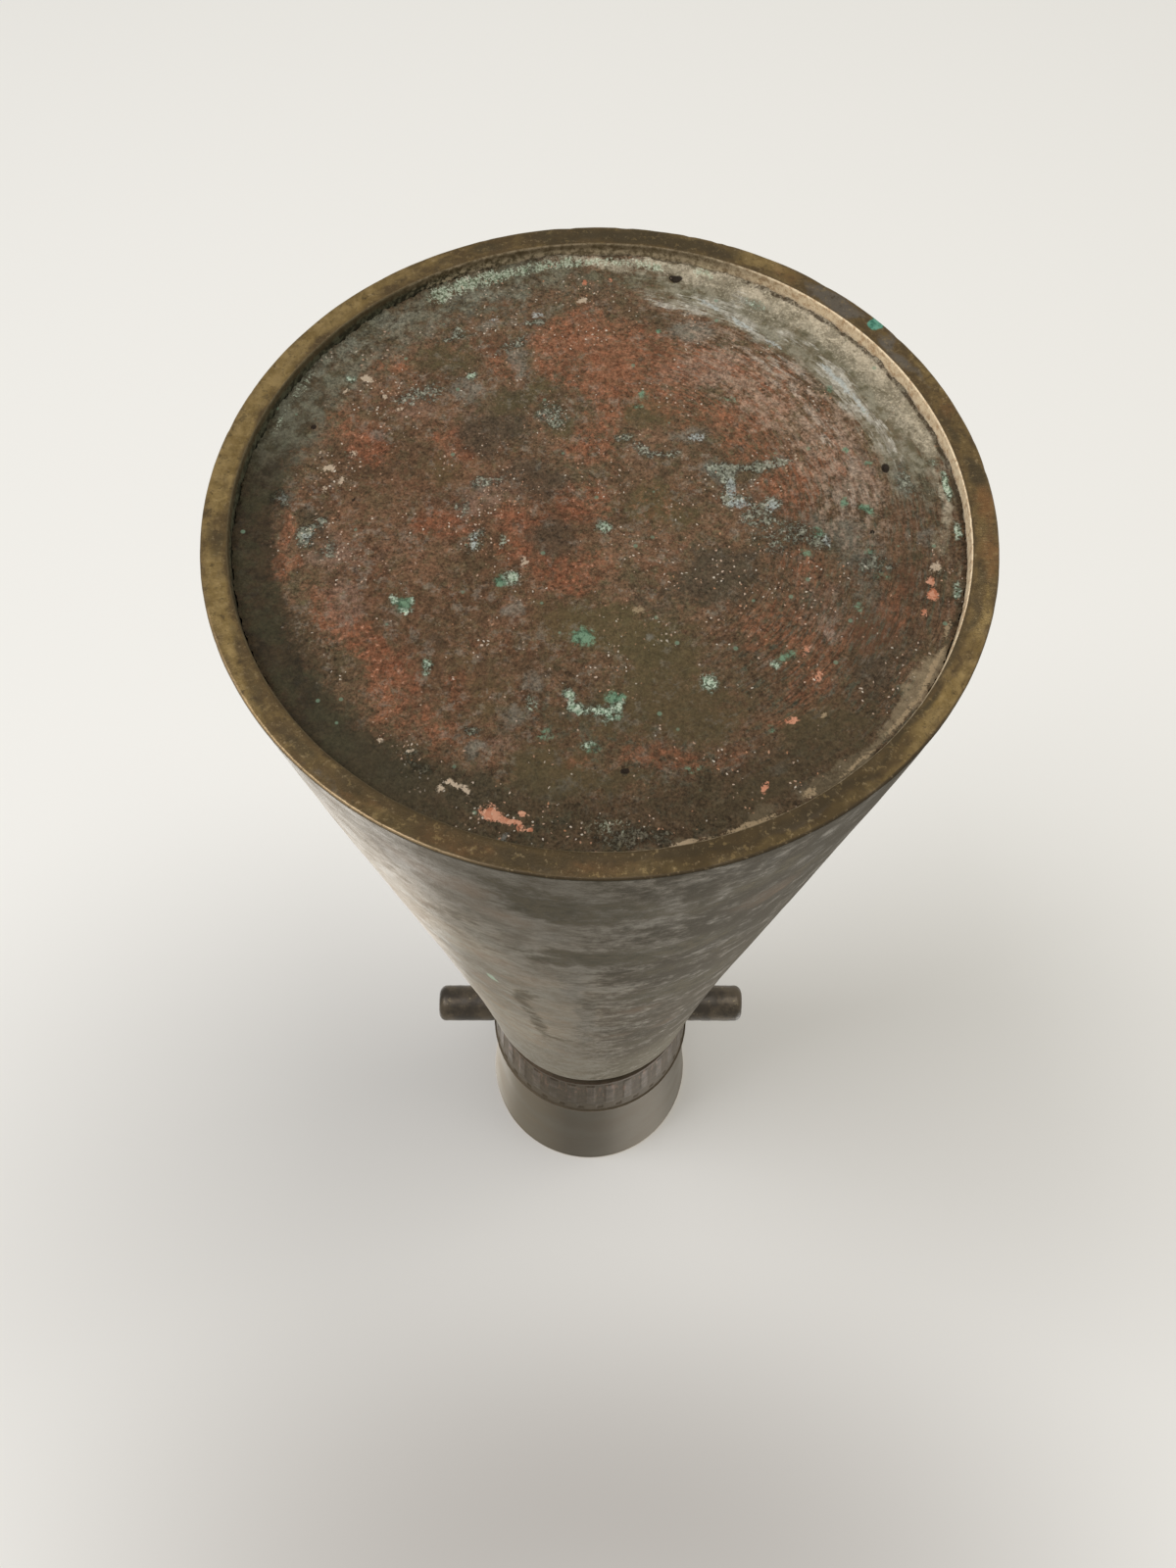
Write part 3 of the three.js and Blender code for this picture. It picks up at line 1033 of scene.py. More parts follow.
def ringSkin(tree, place, direction, radius, fine):
    paints = ringPaints
    patches = grain(tree, stir(tree, place, 3, 2), 2.4, 7, 0.7)
    smudges = drawnGrain(tree, direction, radius, 16, 0.6, 6, 0.66)
    ring = twoTone(tree, smudges, 0.4, 0.62, paints["ground"])
    gold = broken(tree, marked(tree, "ringGold"), smudges, 1.6, 0.45)
    ring = coat(tree, ring, gold, 0.85, twoTone(tree, patches, 0.36, 0.64, paints["gold"]))
    rust = broken(tree, marked(tree, "ringRust"), patches, 1.6, 0.4)
    ring = coat(tree, ring, rust, 0.6, paints["rust"])
    violet = broken(tree, marked(tree, "ringViolet"), patches, 1.8, 0.35)
    ring = coat(tree, ring, violet, 0.8, paints["violet"])
    both = mixValue(tree, 0.5, patches, smudges)
    mottled = broken(tree, marked(tree, "ringDark"), both, 2.2, 0.36)
    ring = coat(tree, ring, mottled, 0.8, paints["dark"])
    front = times(tree, towards(tree, direction, 274, 40, 16), 0.8)
    ring = coat(tree, ring, broken(tree, front, smudges, 2, 0.4), 0.75, paints["front"])
    blots = grain(tree, stir(tree, place, 1.6, 1.2), 1.4, 5, 0.7)
    ring = tinted(tree, ring, blots, 0.57, 0.63, 0.55, paints["darkBlots"])
    ring = tinted(tree, ring, blots, 0.43, 0.37, 0.4, paints["paleBlots"])
    ring = tinted(tree, ring, radius, 51.9, 51.3, 0.6, paints["innerEdge"])
    edge = broken(tree, between(tree, radius, 54.4, 54.9), patches, 1.4, 0.3)
    ring = coat(tree, ring, edge, towards(tree, direction, 278, 46, 12), paints["dullEdge"])
    # worn copper edge with a painted highlight, brightest towards the left
    bright = maths(tree, "MULTIPLY_ADD", towards(tree, direction, 226, 22, 12), 0.45, 0.05)
    ring = coat(tree, ring, edge, bright, paints["wornEdgeHighlight"])
    ring = tinted(tree, ring, fine, 0.44, 0.32, 0.5, paints["fineDark"])
    ring = tinted(tree, ring, fine, 0.56, 0.7, 0.35, paints["fineLight"])
    bloom = broken(tree, marked(tree, "ringGreen"), patches, 1.2, 0.15)
    return mixPaint(tree, bloom, ring, twoTone(tree, fine, 0.4, 0.6, paints["green"])), bloom


def rebateSkin(tree, place, direction, height, fine):
    paints = rebatePaints
    crust = grain(tree, place, 1.0, 5, 0.7)
    rebate = twoTone(tree, crust, 0.4, 0.6, paints["ground"])
    mossy = twoTone(tree, crust, 0.42, 0.58, paints["mossy"])
    rebate = mixPaint(tree, towards(tree, direction, 145, 40, 16), rebate, mossy)
    sand = twoTone(tree, crust, 0.4, 0.6, paints["sand"])
    farSide = towards(tree, direction, 76, 34, 24)
    nearSide = towards(tree, direction, 305, 34, 10)
    sandy = broken(tree, maths(tree, "ADD", farSide, nearSide), crust, 2.4, 0.4)
    rebate = mixPaint(tree, sandy, rebate, sand)
    # pale deposit on the wall at the right, partly painted light of the wall's lit side
    limeAndLitSide = twoTone(tree, crust, 0.3, 0.6, paints["limeAndLitSide"])
    rebate = mixPaint(tree, towards(tree, direction, 14, 48, 14), rebate, limeAndLitSide)
    dulling = mixValue(tree, towards(tree, direction, 18, 46, 14), 0.7, 0.0)
    rebate = coat(tree, rebate, between(tree, height, 1.5, 0.6), dulling, paints["dulled"])
    return mixPaint(tree, between(tree, fine, 0.42, 0.3, 0.5), rebate, paints["fineDark"])


def bodyFinish():
    material, tree, shader = startFinish("bronzeBody")
    place = seenPlace(tree)
    direction, radius, height = axisPlace(tree, place)
    normal = tree.nodes.new("ShaderNodeTexCoord").outputs["Normal"]
    outward = outwardness(tree, normal, direction)
    upward = addNode(tree, "ShaderNodeSeparateXYZ", {0: normal}).outputs["Z"]

    broad = grain(tree, stir(tree, place, 14, 9), 24, 6, 0.64)
    middle = grain(tree, stir(tree, place, 5, 4), 6, 6, 0.66)
    fine = grain(tree, place, 0.9, 5, 0.7)
    dashes = drawnGrain(tree, direction, height, 22, 0.5, 5, 0.72)

    skin, torn, dull = bodySkin(tree, direction, height, broad, middle, fine, dashes)
    ring, bloom = ringSkin(tree, place, direction, radius, fine)
    onRing = times(tree, between(tree, upward, -0.3, -0.7), between(tree, height, 2.5, 1.2))
    skin = mixPaint(tree, onRing, skin, ring)
    inFoot = times(tree, between(tree, outward, -0.3, -0.7), between(tree, height, 9, 7))
    skin = mixPaint(tree, inFoot, skin, rebateSkin(tree, place, direction, height, fine))
    inside = times(tree, between(tree, outward, 0.0, -0.4), between(tree, height, 7, 9))
    skin = mixPaint(tree, inside, skin, bodyPaints["inside"])

    rough = mixValue(tree, between(tree, torn, 0.35, 0.65), 0.3, 0.46)
    rough = mixValue(tree, maths(tree, "MAXIMUM", inFoot, bloom), rough, 0.85)
    rough = mixValue(tree, dull, rough, 0.66)
    crusted = maths(tree, "MAXIMUM", inFoot, maths(tree, "MAXIMUM", inside, bloom))
    metal = mixValue(tree, between(tree, middle, 0.3, 0.6), 0.5, 0.7)
    metal = mixValue(tree, crusted, metal, 0.0)
    looks = {"Base Color": skin, "Roughness": rough, "Metallic": metal}
    plug(tree, shader, {**looks, **bronzeGloss})
    setBump(tree, shader, mixValue(tree, 0.5, fine, dashes), 0.16)
    return material


# Corrosion of the base plate. Each oval is right, up, half width, half height, turn, strength

plateMarks = {
    "copper": [
        (-1, 31, 7, 8, 0, 0.9), (2, 23, 5, 7, 0, 0.8), (7, 29, 6, 7, 0, 0.75),
        (-5, 35, 5, 3.5, 0, 0.8), (16, 29, 7, 4, -15, 0.55), (21, 17, 6, 6, 0, 0.6),
        (27, 6, 5, 6, 0, 0.75), (25, 25, 6, 5, -30, 0.5), (33, 14, 4, 9, 0, 0.5),
        (12, 21, 5, 4, 0, 0.5), (-1, 13, 5, 5, 0, 0.55), (-3, 3, 5, 3.5, 0, 0.7),
        (-31, 29, 3, 2.6, 0, 0.7), (-14, 29, 3, 3, 0, 0.5), (-33, 13, 3.5, 5, 0, 0.7),
        (-37, 18, 3, 4, 0, 0.45), (-22, 14.5, 3, 2.5, 0, 0.55), (-19, 12, 2, 2, 0, 0.5),
        (-22, -1, 5, 3, 0, 0.65), (-12, 0, 4, 3, 0, 0.6), (-4, -9, 6, 3, 8, 0.75),
        (-12, -6, 4, 3, 0, 0.5), (-43.3, -2.5, 0.9, 3, 0, 1.2), (-42.6, -8.4, 1.9, 2.4, 0, 1.2),
        (-40.6, -6.4, 1.4, 0.9, 0, 1), (-36.5, -16, 2.4, 6, 14, 0.5),
        (-31, -21, 2.6, 6, 22, 0.6), (-28, -27, 3, 5, 14, 0.8), (-28, -33, 3, 2, 0, 0.65),
        (-22, -34, 3, 4, 30, 0.45), (-19, -27, 3, 3, 0, 0.4), (28, -8, 4, 4, 0, 0.5),
        (24, -18, 6, 5, -30, 0.6), (28, -26, 3, 4, -30, 0.75), (31, -20, 3, 4, -20, 0.6),
        (23, -32, 1.8, 0.9, 0, 0.9), (8, -37.5, 5, 1.9, 0, 0.85), (16, -37.5, 3, 1.6, 0, 0.4),
        (-4, -38, 2.4, 1, 0, 0.6), (40, -14, 2, 4, 0, 0.5), (8, 3, 5, 4, 0, 0.4),
        (0, -44, 3, 1.5, 0, 0.3),
    ],
    "rosy": [
        (16, 28, 7, 4, 0, 0.8), (36, 9, 4, 8, 0, 0.7), (-16, 4, 6, 4, 20, 0.7),
        (-34, -14, 3.4, 5, 10, 0.9), (-36, -5, 4, 3, 0, 0.8), (-28, -5, 4, 4, 0, 0.4),
        (-17, 19, 4, 3, 0, 0.5), (-27, 20, 4, 3, 0, 0.5), (24, 20, 5, 5, 0, 0.5),
        (30, -13, 4, 6, 20, 0.5), (-12, -36, 4, 2, 0, 0.5), (8, 12, 6, 2, 0, 0.4),
    ],
    "deepRust": [
        (37, -18, 4, 5, 0, 0.9), (42, -10, 2.5, 5, 0, 0.6), (24, 12, 4, 4, 0, 0.5),
        (29, 3, 4, 4, 0, 0.5), (-27, -13, 4, 4, 0, 0.4), (-15, 33, 4, 2.2, 0, 0.6),
        (-8, -22, 4, 3, 0, 0.3), (10, -8, 7, 4, 0, 0.5), (-28, 6, 5, 4, 0, 0.4),
        (15, -24, 5, 4, 0, 0.3), (-25, -30, 4, 3, 0, 0.4),
    ],
    "olive": [
        (-1, -17, 9, 5, 0, 0.9), (8, -22, 7, 6, 0, 0.8), (4, -31, 10, 5, 0, 0.75),
        (15, -30, 6, 5, 0, 0.6), (29, -33, 7, 5, 20, 0.7), (20, -42, 8, 3, 25, 0.6),
        (-7, -39, 6, 4, 0, 0.9), (-14, -28, 5, 4, 0, 0.5), (2, -42, 8, 3, 0, 0.6),
        (7, 19, 3.5, 4, 0, 0.7), (7, 4, 5, 4.5, 0, 0.75), (13, 0, 4, 3, 0, 0.6),
        (-8, 24, 3, 4, 0, 0.5), (-23, 29, 6, 4, 0, 0.6), (-14, 21, 5, 4, 0, 0.6),
        (-6, 17, 3, 3, 0, 0.6), (-23, 9, 4, 4, 0, 0.6), (-19, -24, 3, 2.4, 0, 0.5),
        (13, 35, 3, 3, 0, 0.3), (29, 18, 3, 3, 0, 0.4), (44, -22, 2.5, 5, -25, 0.5),
    ],
    "dark": [
        (-16, 15, 6, 4.5, 0, 0.8), (-13, 22, 4, 3, 0, 0.7), (-23, 28, 5, 3, 0, 0.55),
        (-9, 7, 5, 3.6, 0, 0.8), (-18, 40, 8, 3, 10, 0.4), (17, -9, 6, 5, 0, 0.85),
        (9, -13, 6, 4, 0, 0.5), (-7, -3, 4.5, 4.5, 0, 0.75), (-22, 4, 4, 3, 0, 0.4),
        (-40, -1, 3, 4, 0, 0.6), (-30, -3, 4, 4, 0, 0.3), (36, -26, 3, 4, 0, 0.7),
        (40, -22, 3, 5, -30, 0.5), (35, -8, 3, 5, 0, 0.4), (26, 2, 2, 3, 0, 0.4),
        (-24, -20, 3, 3, 0, 0.4), (-16, -42, 6, 3, -20, 0.7), (-26, -39, 4, 3, -40, 0.8),
        (46, 6, 2, 4, 0, 0.7), (28, 38, 2, 2, 0, 0.5), (29, -41, 1.6, 1.4, 0, 1),
        (45, 13, 1.2, 3, 0, 0.5),
    ],
    "haze": [
        (-43.5, 24, 1.8, 6, -30, 0.8), (-46, 17, 1.2, 4, -18, 0.6), (-38, 31, 3, 4, -40, 0.6),
        (-31, 37, 5, 2, 38, 0.7), (-18, 41, 8, 3, 20, 0.5), (-20, 22.5, 3.4, 2.6, 0, 0.75),
        (-11, 29.5, 1.6, 4, 0, 0.7), (-31.4, 15.5, 1.1, 1.3, 0, 1.2), (-16, 5, 4, 2, 0, 0.35),
        (-44, 3, 3, 2, 0, 0.5), (20.5, 41, 4.5, 2.4, -10, 0.9), (13.5, 35.5, 3.6, 3, 0, 0.8),
        (24.5, 36, 5, 2.2, -38, 0.7), (16, 9, 3, 3, 0, 0.5), (20, 6, 4, 4, 0, 0.3),
        (13, 15.8, 3, 1.6, 0, 0.6), (36, -5, 3.5, 5, 0, 0.6), (33, -1, 4, 3, 0, 0.4),
        (37, -13, 3, 3, 0, 0.4), (-12, -15.4, 2, 1.4, 0, 0.8), (-8.7, -26.4, 1.2, 1.2, 0, 0.7),
        (-10.4, -31, 1.8, 2.4, 0, 0.7), (-16.4, -36.4, 2.2, 1.4, 20, 0.8),
        (7, -18.6, 0.9, 0.8, 0, 1), (14.2, -15.3, 0.9, 0.5, 0, 0.9),
        (-13, 38, 2.4, 1.6, 20, 0.4), (-17, 36.6, 2, 1, 25, 0.5), (22, -40, 1.6, 1, 0, 0.7),
        (25.5, -42, 1.8, 1.2, 20, 0.7), (-5.5, -41, 2, 1.2, 20, 0.5), (42.5, 10, 2, 6, 8, 0.7),
        (46, -2, 2, 2, 0, 0.6),
    ],
    "ash": [
        (22, 10.5, 5.5, 0.9, 3, 1), (18.6, 7.5, 1, 3, 0, 1), (19.5, 3, 2, 1.1, 0, 1),
        (24, 2.6, 1.7, 1.3, 0, 0.9), (23, 0, 2.4, 1.6, 0, 0.6), (16.5, 9, 1.6, 1.6, 0, 0.7),
        (-9.5, 38.2, 1.6, 1, 0, 0.8), (-44.2, 2.6, 1.6, 1.4, 0, 0.8),
        (-40.6, -3, 1.4, 1.2, 0, 0.9), (-38.4, -1.4, 1.2, 1, 0, 0.7),
        (-37, -4.5, 1.4, 1.6, 0, 0.5), (-16, 6.8, 3, 1, 10, 0.6), (-17.5, -4, 1, 2.4, 0, 0.7),
        (-19.4, 2.2, 1, 1.2, 0, 0.6), (-12, 33, 3, 1, 30, 0.5), (-21, 33.4, 3, 0.7, 25, 0.6),
        (-8, 18.4, 2.4, 1.6, 0, 0.6), (-27, 22, 3, 2, 0, 0.5), (28, -2, 3, 2.4, 0, 0.5),
        (31, -3.6, 1.4, 1.4, 0, 0.7), (38, -7, 2.4, 1.6, 0, 0.6), (24, -4, 3, 3, 0, 0.3),
        (-17, -34, 2, 0.8, 0, 0.5), (-24, -37, 3, 1, -30, 0.5), (4, -48.2, 5, 1, 0, 0.7),
        (8.4, 12.5, 2.4, 0.7, 0, 0.8), (4.6, 13.4, 1.4, 0.6, 0, 0.7), (43.5, 8, 1.6, 3, 0, 0.5),
    ],
    "streaks": [
        (34, 28, 1.8, 5, 40, 1.1), (37.4, 23, 1.8, 5, 30, 1.2), (41, 16, 1.8, 5, 20, 0.75),
        (42.5, 12, 1.4, 4, 14, 0.6), (26.5, 34.5, 1.6, 4, 54, 0.5),
        (22, 37.6, 3.4, 1.4, -32, 1.1), (18, 40, 1.6, 6, 60, 1), (12, 41.5, 1.4, 5, 68, 0.8),
        (21, 41.5, 3.4, 1.4, -20, 0.9), (28, 25, 3, 6, 34, 0.4), (33, 16, 3, 7, 20, 0.38),
        (23, 31, 3, 6, 48, 0.4), (36, 4, 3, 6, 4, 0.35), (30, -18, 3, 6, -32, 0.25),
    ],
    "sand": [
        (44.4, 21.8, 2.4, 8, 26, 1.5), (39.6, 29.2, 2.6, 8, 36, 1.5),
        (33.4, 35.8, 3, 8, 47, 1.5), (25.6, 41.6, 3.2, 8, 58, 1.5), (16.4, 46, 2.4, 6, 70, 1.1),
        (6, 48.8, 1.4, 6, 83, 0.5), (-4, 49, 1.2, 6, 95, 0.3), (47.5, 13, 1.4, 5, 14, 0.9),
        (49.3, 3, 1, 4, 2, 0.8), (48.4, -3.5, 1.8, 3, 0, 0.7), (49.6, -10, 0.7, 4, -10, 0.6),
        (44.6, 5, 1.4, 4, 0, 0.3), (43.2, -25, 1.5, 5, -30, 1),
        (38.2, -31.5, 1.3, 4.6, -39.5, 1.1), (32.1, -37.9, 1.2, 4, -49.8, 1),
        (26.9, -41.8, 1.3, 3, -57, 1.1), (18.3, -46.4, 1.2, 4, -68.4, 1.2),
        (11, -48.8, 0.8, 3, -77.4, 1), (5, -49.8, 0.6, 4, -84, 0.6), (0, 50.2, 0.9, 6, 90, 0.8),
        (11, 49.3, 1.1, 6, 77.5, 1), (21, 45.6, 1.3, 5, 65, 0.9),
    ],
    "crumbs": [
        (-38, 8, 4, 5, 0, 0.8), (-30, 21, 5, 4, 0, 0.7), (-8, 17.5, 3.5, 3, 0, 0.8),
        (-14, 4, 6, 4, 20, 0.7), (-6, 33, 7, 4, 0, 0.6), (-18, -2, 3, 5, 0, 0.7),
        (-38, -3, 4, 4, 0, 0.9), (-12, -12, 6, 6, 0, 0.4), (-25, -37, 6, 3, -38, 0.9),
        (-11, -46, 8, 3, -12, 0.5), (-2, 42, 5, 3, 0, 0.7), (4, 13, 5, 2, 0, 0.6),
        (28, -12, 7, 8, 0, 0.4), (18, 6, 5, 5, 0, 0.5), (6, -47, 7, 2.4, 8, 0.3),
        (26, 10, 5, 6, 0, 0.5), (-15, 37, 4, 2, 20, 0.8), (32, 24, 7, 8, 35, 0.5),
    ],
    "moss": [
        (-24.5, 43.5, 1.2, 3.5, 120, 0.6), (-17, 45.5, 2.2, 7, 110, 0.7),
        (-6, 47, 2.2, 6, 97, 0.6), (-34, 36, 1.6, 6, 135, 0.6), (4, 46.5, 2, 5, 85, 0.7),
        (15, 42.8, 1.8, 4, 72, 0.7), (41, 22, 1.6, 6, 30, 0.5), (35, 31, 1.8, 6, 42, 0.6),
        (28, 38, 1.6, 5, 54, 0.6), (46.4, 8, 1.5, 4, 8, 0.8), (-7, 41, 4, 2, 0, 0.5),
        (34, -4, 4, 5, 0, 0.6), (36, -13, 2.4, 5, 0, 0.4), (-39, -28, 3, 6, 36, 0.6),
        (-33, -35, 3, 5, 46, 0.6),
    ],
}

smallMarks = {
    "holes": [
        (12, 46.3, 1.1, 1, 0, 1), (41, 9.3, 0.8, 0.8, 0, 1), (3, -39.2, 0.6, 0.5, 0, 1),
        (-41.7, 16.5, 0.5, 0.5, 0, 1), (38, -1.9, 0.5, 0.4, 0, 0.9),
        (-34.8, 3.4, 0.4, 0.4, 0, 0.9), (28.6, -40.8, 1.6, 0.7, -30, 0.45),
    ],
    "crust": [
        (-24.8, 42.6, 1.6, 1.5, 0, 1.1), (-21.4, 44.4, 2.6, 1.5, 30, 1.2),
        (-17, 46.2, 3, 1.3, 24, 1.1), (-11.5, 48.1, 3.6, 1.1, 15, 1),
        (-5, 49.4, 4, 0.9, 8, 0.9), (2, 49.8, 4, 0.8, 0, 0.8), (8, 49, 3, 0.9, -8, 0.9),
        (16.6, 47.4, 2, 1.1, -20, 0.9), (-44, 24, 0.7, 4, -26, 0.3),
        (-46.8, 17, 0.5, 3, -18, 0.3), (1, -47, 4, 1.6, 0, 0.2),
    ],
    "verdigris": [
        (-26.8, -14.2, 1.5, 1.3, 0, 1), (-13.6, -10.4, 1.2, 0.9, 0, 1),
        (-2.4, -19.3, 1.6, 1.5, 0, 1), (2, -28.7, 1.4, 1, 0, 0.9), (1.4, -31, 1.4, 1.2, 0, 0.6),
        (-22.8, -23.6, 0.9, 1.2, 0, 0.5), (6.6, 22.8, 0.8, 1.1, 0, 0.6),
        (5.8, 20.6, 0.9, 0.6, 0, 0.6), (9, 35.4, 0.5, 0.5, 0, 0.9),
        (19.4, 22, 1.6, 0.8, 0, 0.4), (34.2, 24, 0.6, 0.7, 0, 0.8),
        (35.4, 12.4, 0.5, 0.5, 0, 0.8), (38.6, 10, 0.7, 0.6, 0, 0.8),
        (30.2, 12.6, 0.5, 0.7, 0, 0.6), (34.6, 3, 0.6, 1.1, 0, 0.7),
        (37.4, 2, 1.3, 0.6, -40, 0.9), (25.4, 12, 0.6, 0.6, 0, 0.4),
        (22, -33.2, 0.9, 0.7, 0, 0.6), (24.6, -22.4, 1.8, 0.8, 25, 0.6),
        (37.6, -5, 1.2, 0.8, 0, 0.5), (30.6, -2.4, 1, 1.2, 0, 0.5),
        (28.4, -5.6, 1, 0.7, 0, 0.5), (38.8, -9.4, 1.4, 0.7, 0, 0.5),
        (35, -14.6, 0.8, 1.2, 0, 0.4), (12, -39, 1.6, 0.8, 0, 0.4), (-1, -36, 1, 0.7, 0, 0.6),
        (-7, -34, 1.4, 1.1, 0, 0.4),
    ],
    "chalk": [
        (-27.9, -13.4, 0.4, 0.9, 30, 0.9), (-26.4, -15.3, 1, 0.35, 0, 0.9),
        (-25.6, -13.7, 0.35, 0.8, 0, 0.8), (-12, -10, 1.3, 1.1, 0, 0.9),
        (-13.5, -4, 0.6, 1.2, 0, 0.5), (-4.1, -28.2, 0.7, 1.1, 20, 1.1),
        (-3.2, -30.2, 1.2, 0.9, -20, 1.1), (1, -31, 1.5, 1.3, 0, 0.7),
        (2.4, -29.8, 0.8, 0.6, 0, 0.8), (-1.2, -30.6, 1.1, 0.8, 0, 0.5),
        (0.6, -1.3, 1.3, 1, 0, 0.75), (-22.8, -24, 0.7, 1.4, 0, 0.7),
        (-9, -29.4, 1, 1.2, 0, 0.4), (-19, 26.2, 0.8, 0.7, 0, 1), (24, 41, 2.4, 1, -30, 0.5),
        (49.4, 6, 0.55, 2.4, 5, 1.1), (50, -2, 0.5, 1.6, 0, 0.8), (48.6, -12, 0.5, 2, -12, 0.6),
        (14.2, -26.4, 1, 1.5, 10, 0.9), (23.2, -23.6, 0.8, 0.6, 0, 0.8),
        (-1.6, -35.4, 1, 0.5, 10, 0.9), (-37, 25.7, 0.9, 0.9, 0, 0.6),
        (47.8, 10, 0.7, 0.9, 0, 0.5),
    ],
    "ice": [
        (18.8, 5.6, 0.7, 1.6, 0, 1), (19.6, 2.8, 1.6, 0.7, 0, 0.9), (24.4, 2.4, 1, 1, 0, 0.9),
        (14.2, 14.8, 1.2, 0.6, 0, 0.9), (-16, 37.8, 0.8, 0.3, 20, 0.9),
        (-9.4, 38.6, 1, 0.6, 0, 0.7), (34.6, 27, 0.4, 2.6, 32, 0.9),
        (36.6, 24, 0.5, 2.4, 30, 0.9), (38.6, 20.6, 0.5, 2, 26, 0.8),
        (22, 36.6, 0.4, 2.6, 52, 0.8), (26.6, 32.6, 0.4, 1.6, 50, 0.7),
        (17, 40.8, 0.4, 2, 55, 0.8), (-40.6, -3.2, 0.8, 0.6, 0, 0.7),
        (-45, 3.6, 0.7, 0.6, 0, 0.6), (-17.4, -3.6, 0.4, 1.4, 0, 0.6),
        (-12, -48.4, 1.2, 0.4, 30, 0.8), (31.6, -3.6, 0.5, 0.8, 0, 0.7),
    ],
    "tan": [
        (43.6, -24.8, 0.5, 5, -30, 0.8), (38.8, -31.8, 0.35, 4, -39.5, 0.8),
        (32.6, -38.2, 0.3, 3, -49.8, 0.7), (26.4, -42.2, 1, 0.7, 30, 0.7),
        (18.4, -46.9, 0.6, 4, -68.4, 0.9), (11, -49.2, 0.45, 3, -77.4, 0.8),
        (46.2, -8.2, 0.8, 0.9, 0, 1.1), (-18.6, -41.2, 1.7, 0.4, -20, 0.9),
        (-20.4, -41.8, 0.5, 0.7, 0, 0.8), (-17, -42.2, 0.7, 0.3, -50, 0.8),
        (-38.6, 9, 0.9, 0.6, 20, 1), (-36.8, 6.6, 0.5, 0.9, -30, 0.8),
        (-39, 5, 0.4, 0.6, 0, 0.7), (-35.4, 11.6, 0.7, 0.4, 0, 0.7),
        (-34.4, 25.5, 1.1, 0.5, -25, 1.2), (-37.6, 23.3, 0.3, 0.6, -30, 1),
        (-31.7, 22.2, 0.3, 0.4, 0, 1), (-29, 20, 0.8, 0.3, 30, 0.8),
        (-2.6, 41.6, 0.7, 0.6, 0, 0.9), (-10.4, -7.2, 0.5, 0.6, 0, 0.9),
        (5.2, -15, 0.8, 0.5, 20, 1), (28.3, 11, 0.3, 0.4, 0, 1), (9, 51, 6, 0.7, -8, 0.9),
        (1, 51.6, 4, 0.5, 0, 0.7), (20, 49, 4, 0.7, -22, 0.9), (-24.4, -36.4, 0.5, 0.3, 0, 0.8),
        (-28.4, -34.8, 0.5, 0.3, 0, 0.7), (29, -31.2, 0.3, 0.3, 0, 1),
        (46.6, -18, 0.4, 1.8, -22, 0.7),
    ],
    "chips": [
        (-14, -44.9, 1.1, 1.1, 0, 1), (-12.4, -46, 1.3, 0.5, -30, 1),
        (-10.4, -46.8, 1.2, 0.4, -30, 0.9), (-9.8, -45.2, 0.6, 0.35, 10, 0.9),
        (-8.8, -47.4, 0.4, 0.3, 0, 0.8), (45.3, -10.2, 0.5, 0.7, 0, 1),
        (45.2, -12.3, 0.8, 1, 0, 1.1), (43.8, -15.4, 0.6, 0.6, 0, 0.8),
        (-2.2, 45.4, 0.4, 0.5, 0, 1), (1.7, 46.2, 0.4, 0.4, 0, 0.7),
        (20.8, -41.6, 0.4, 0.9, -20, 0.8), (27.2, -21.4, 0.5, 0.8, -30, 0.7),
        (28.6, -25.4, 0.6, 0.9, -30, 0.6), (24.6, -32, 1, 0.5, 5, 0.7),
    ],
}


platePaints = {
    "ground": ((84, 68, 49), (106, 82, 60)),
    "groundPale": (122, 91, 68),
    "groundOlive": (84, 76, 54),
    "groundRed": (100, 70, 50),
    "deepRust": (92, 60, 41),
    "rosy": (132, 106, 88),
    "tinge": (120, 86, 62),
    "fleckOlive": (88, 82, 58),
    "fleckPale": (122, 105, 86),
    "rusty": (132, 84, 57),
    "clumps": (146, 96, 68),
    "gaps": (66, 54, 38),
    "furrows": (54, 45, 32),
    "teal": (76, 88, 73),
    "dark": (70, 62, 48),
    "olive": (78, 69, 44),
    "moss": (88, 84, 64),
    "haze": (118, 114, 100),
    "rust": ((124, 74, 48), (156, 102, 74)),
    "leftRed": (108, 58, 38),
    "salmon": (184, 140, 112),
    "stray": (142, 108, 84),
    "film": (126, 120, 106),
    "ashen": ((96, 91, 70), (138, 132, 112)),
    "sand": ((108, 101, 82), (186, 173, 148)),
    "sandOlive": (106, 98, 78),
    "sandGaps": (100, 90, 68),
    "sandSpecks": (206, 194, 168),
    "sandLow": ((104, 91, 67), (186, 167, 134)),
    "strokes": ((138, 130, 114), (196, 190, 174)),
    "washed": (160, 136, 114),
    "scored": (70, 58, 44),
    "lines": (166, 150, 128),
    "ash": ((104, 108, 90), (156, 158, 140)),
    "ice": (164, 170, 164),
    "border": ((32, 28, 19), (54, 45, 30)),
    "borderOlive": (50, 48, 32),
    "lowRim": (60, 54, 38),
    "upperRim": ((72, 65, 48), (114, 114, 96)),
    "crevice": (62, 50, 35),
    "lowRightShadePaint": (62, 46, 32),
    "verdigris": ((48, 80, 60), (110, 140, 112)),
    "chalk": ((126, 148, 120), (192, 204, 180)),
    "crust": ((112, 128, 100), (196, 204, 178)),
    "tan": ((192, 172, 146), (150, 130, 100)),
    "chips": ((168, 104, 74), (204, 152, 122)),
    "pits": (40, 32, 25),
    "holes": (32, 24, 18),
    "pinheads": (112, 134, 110),
    "crumbs": ((176, 124, 88), (214, 204, 184)),
}


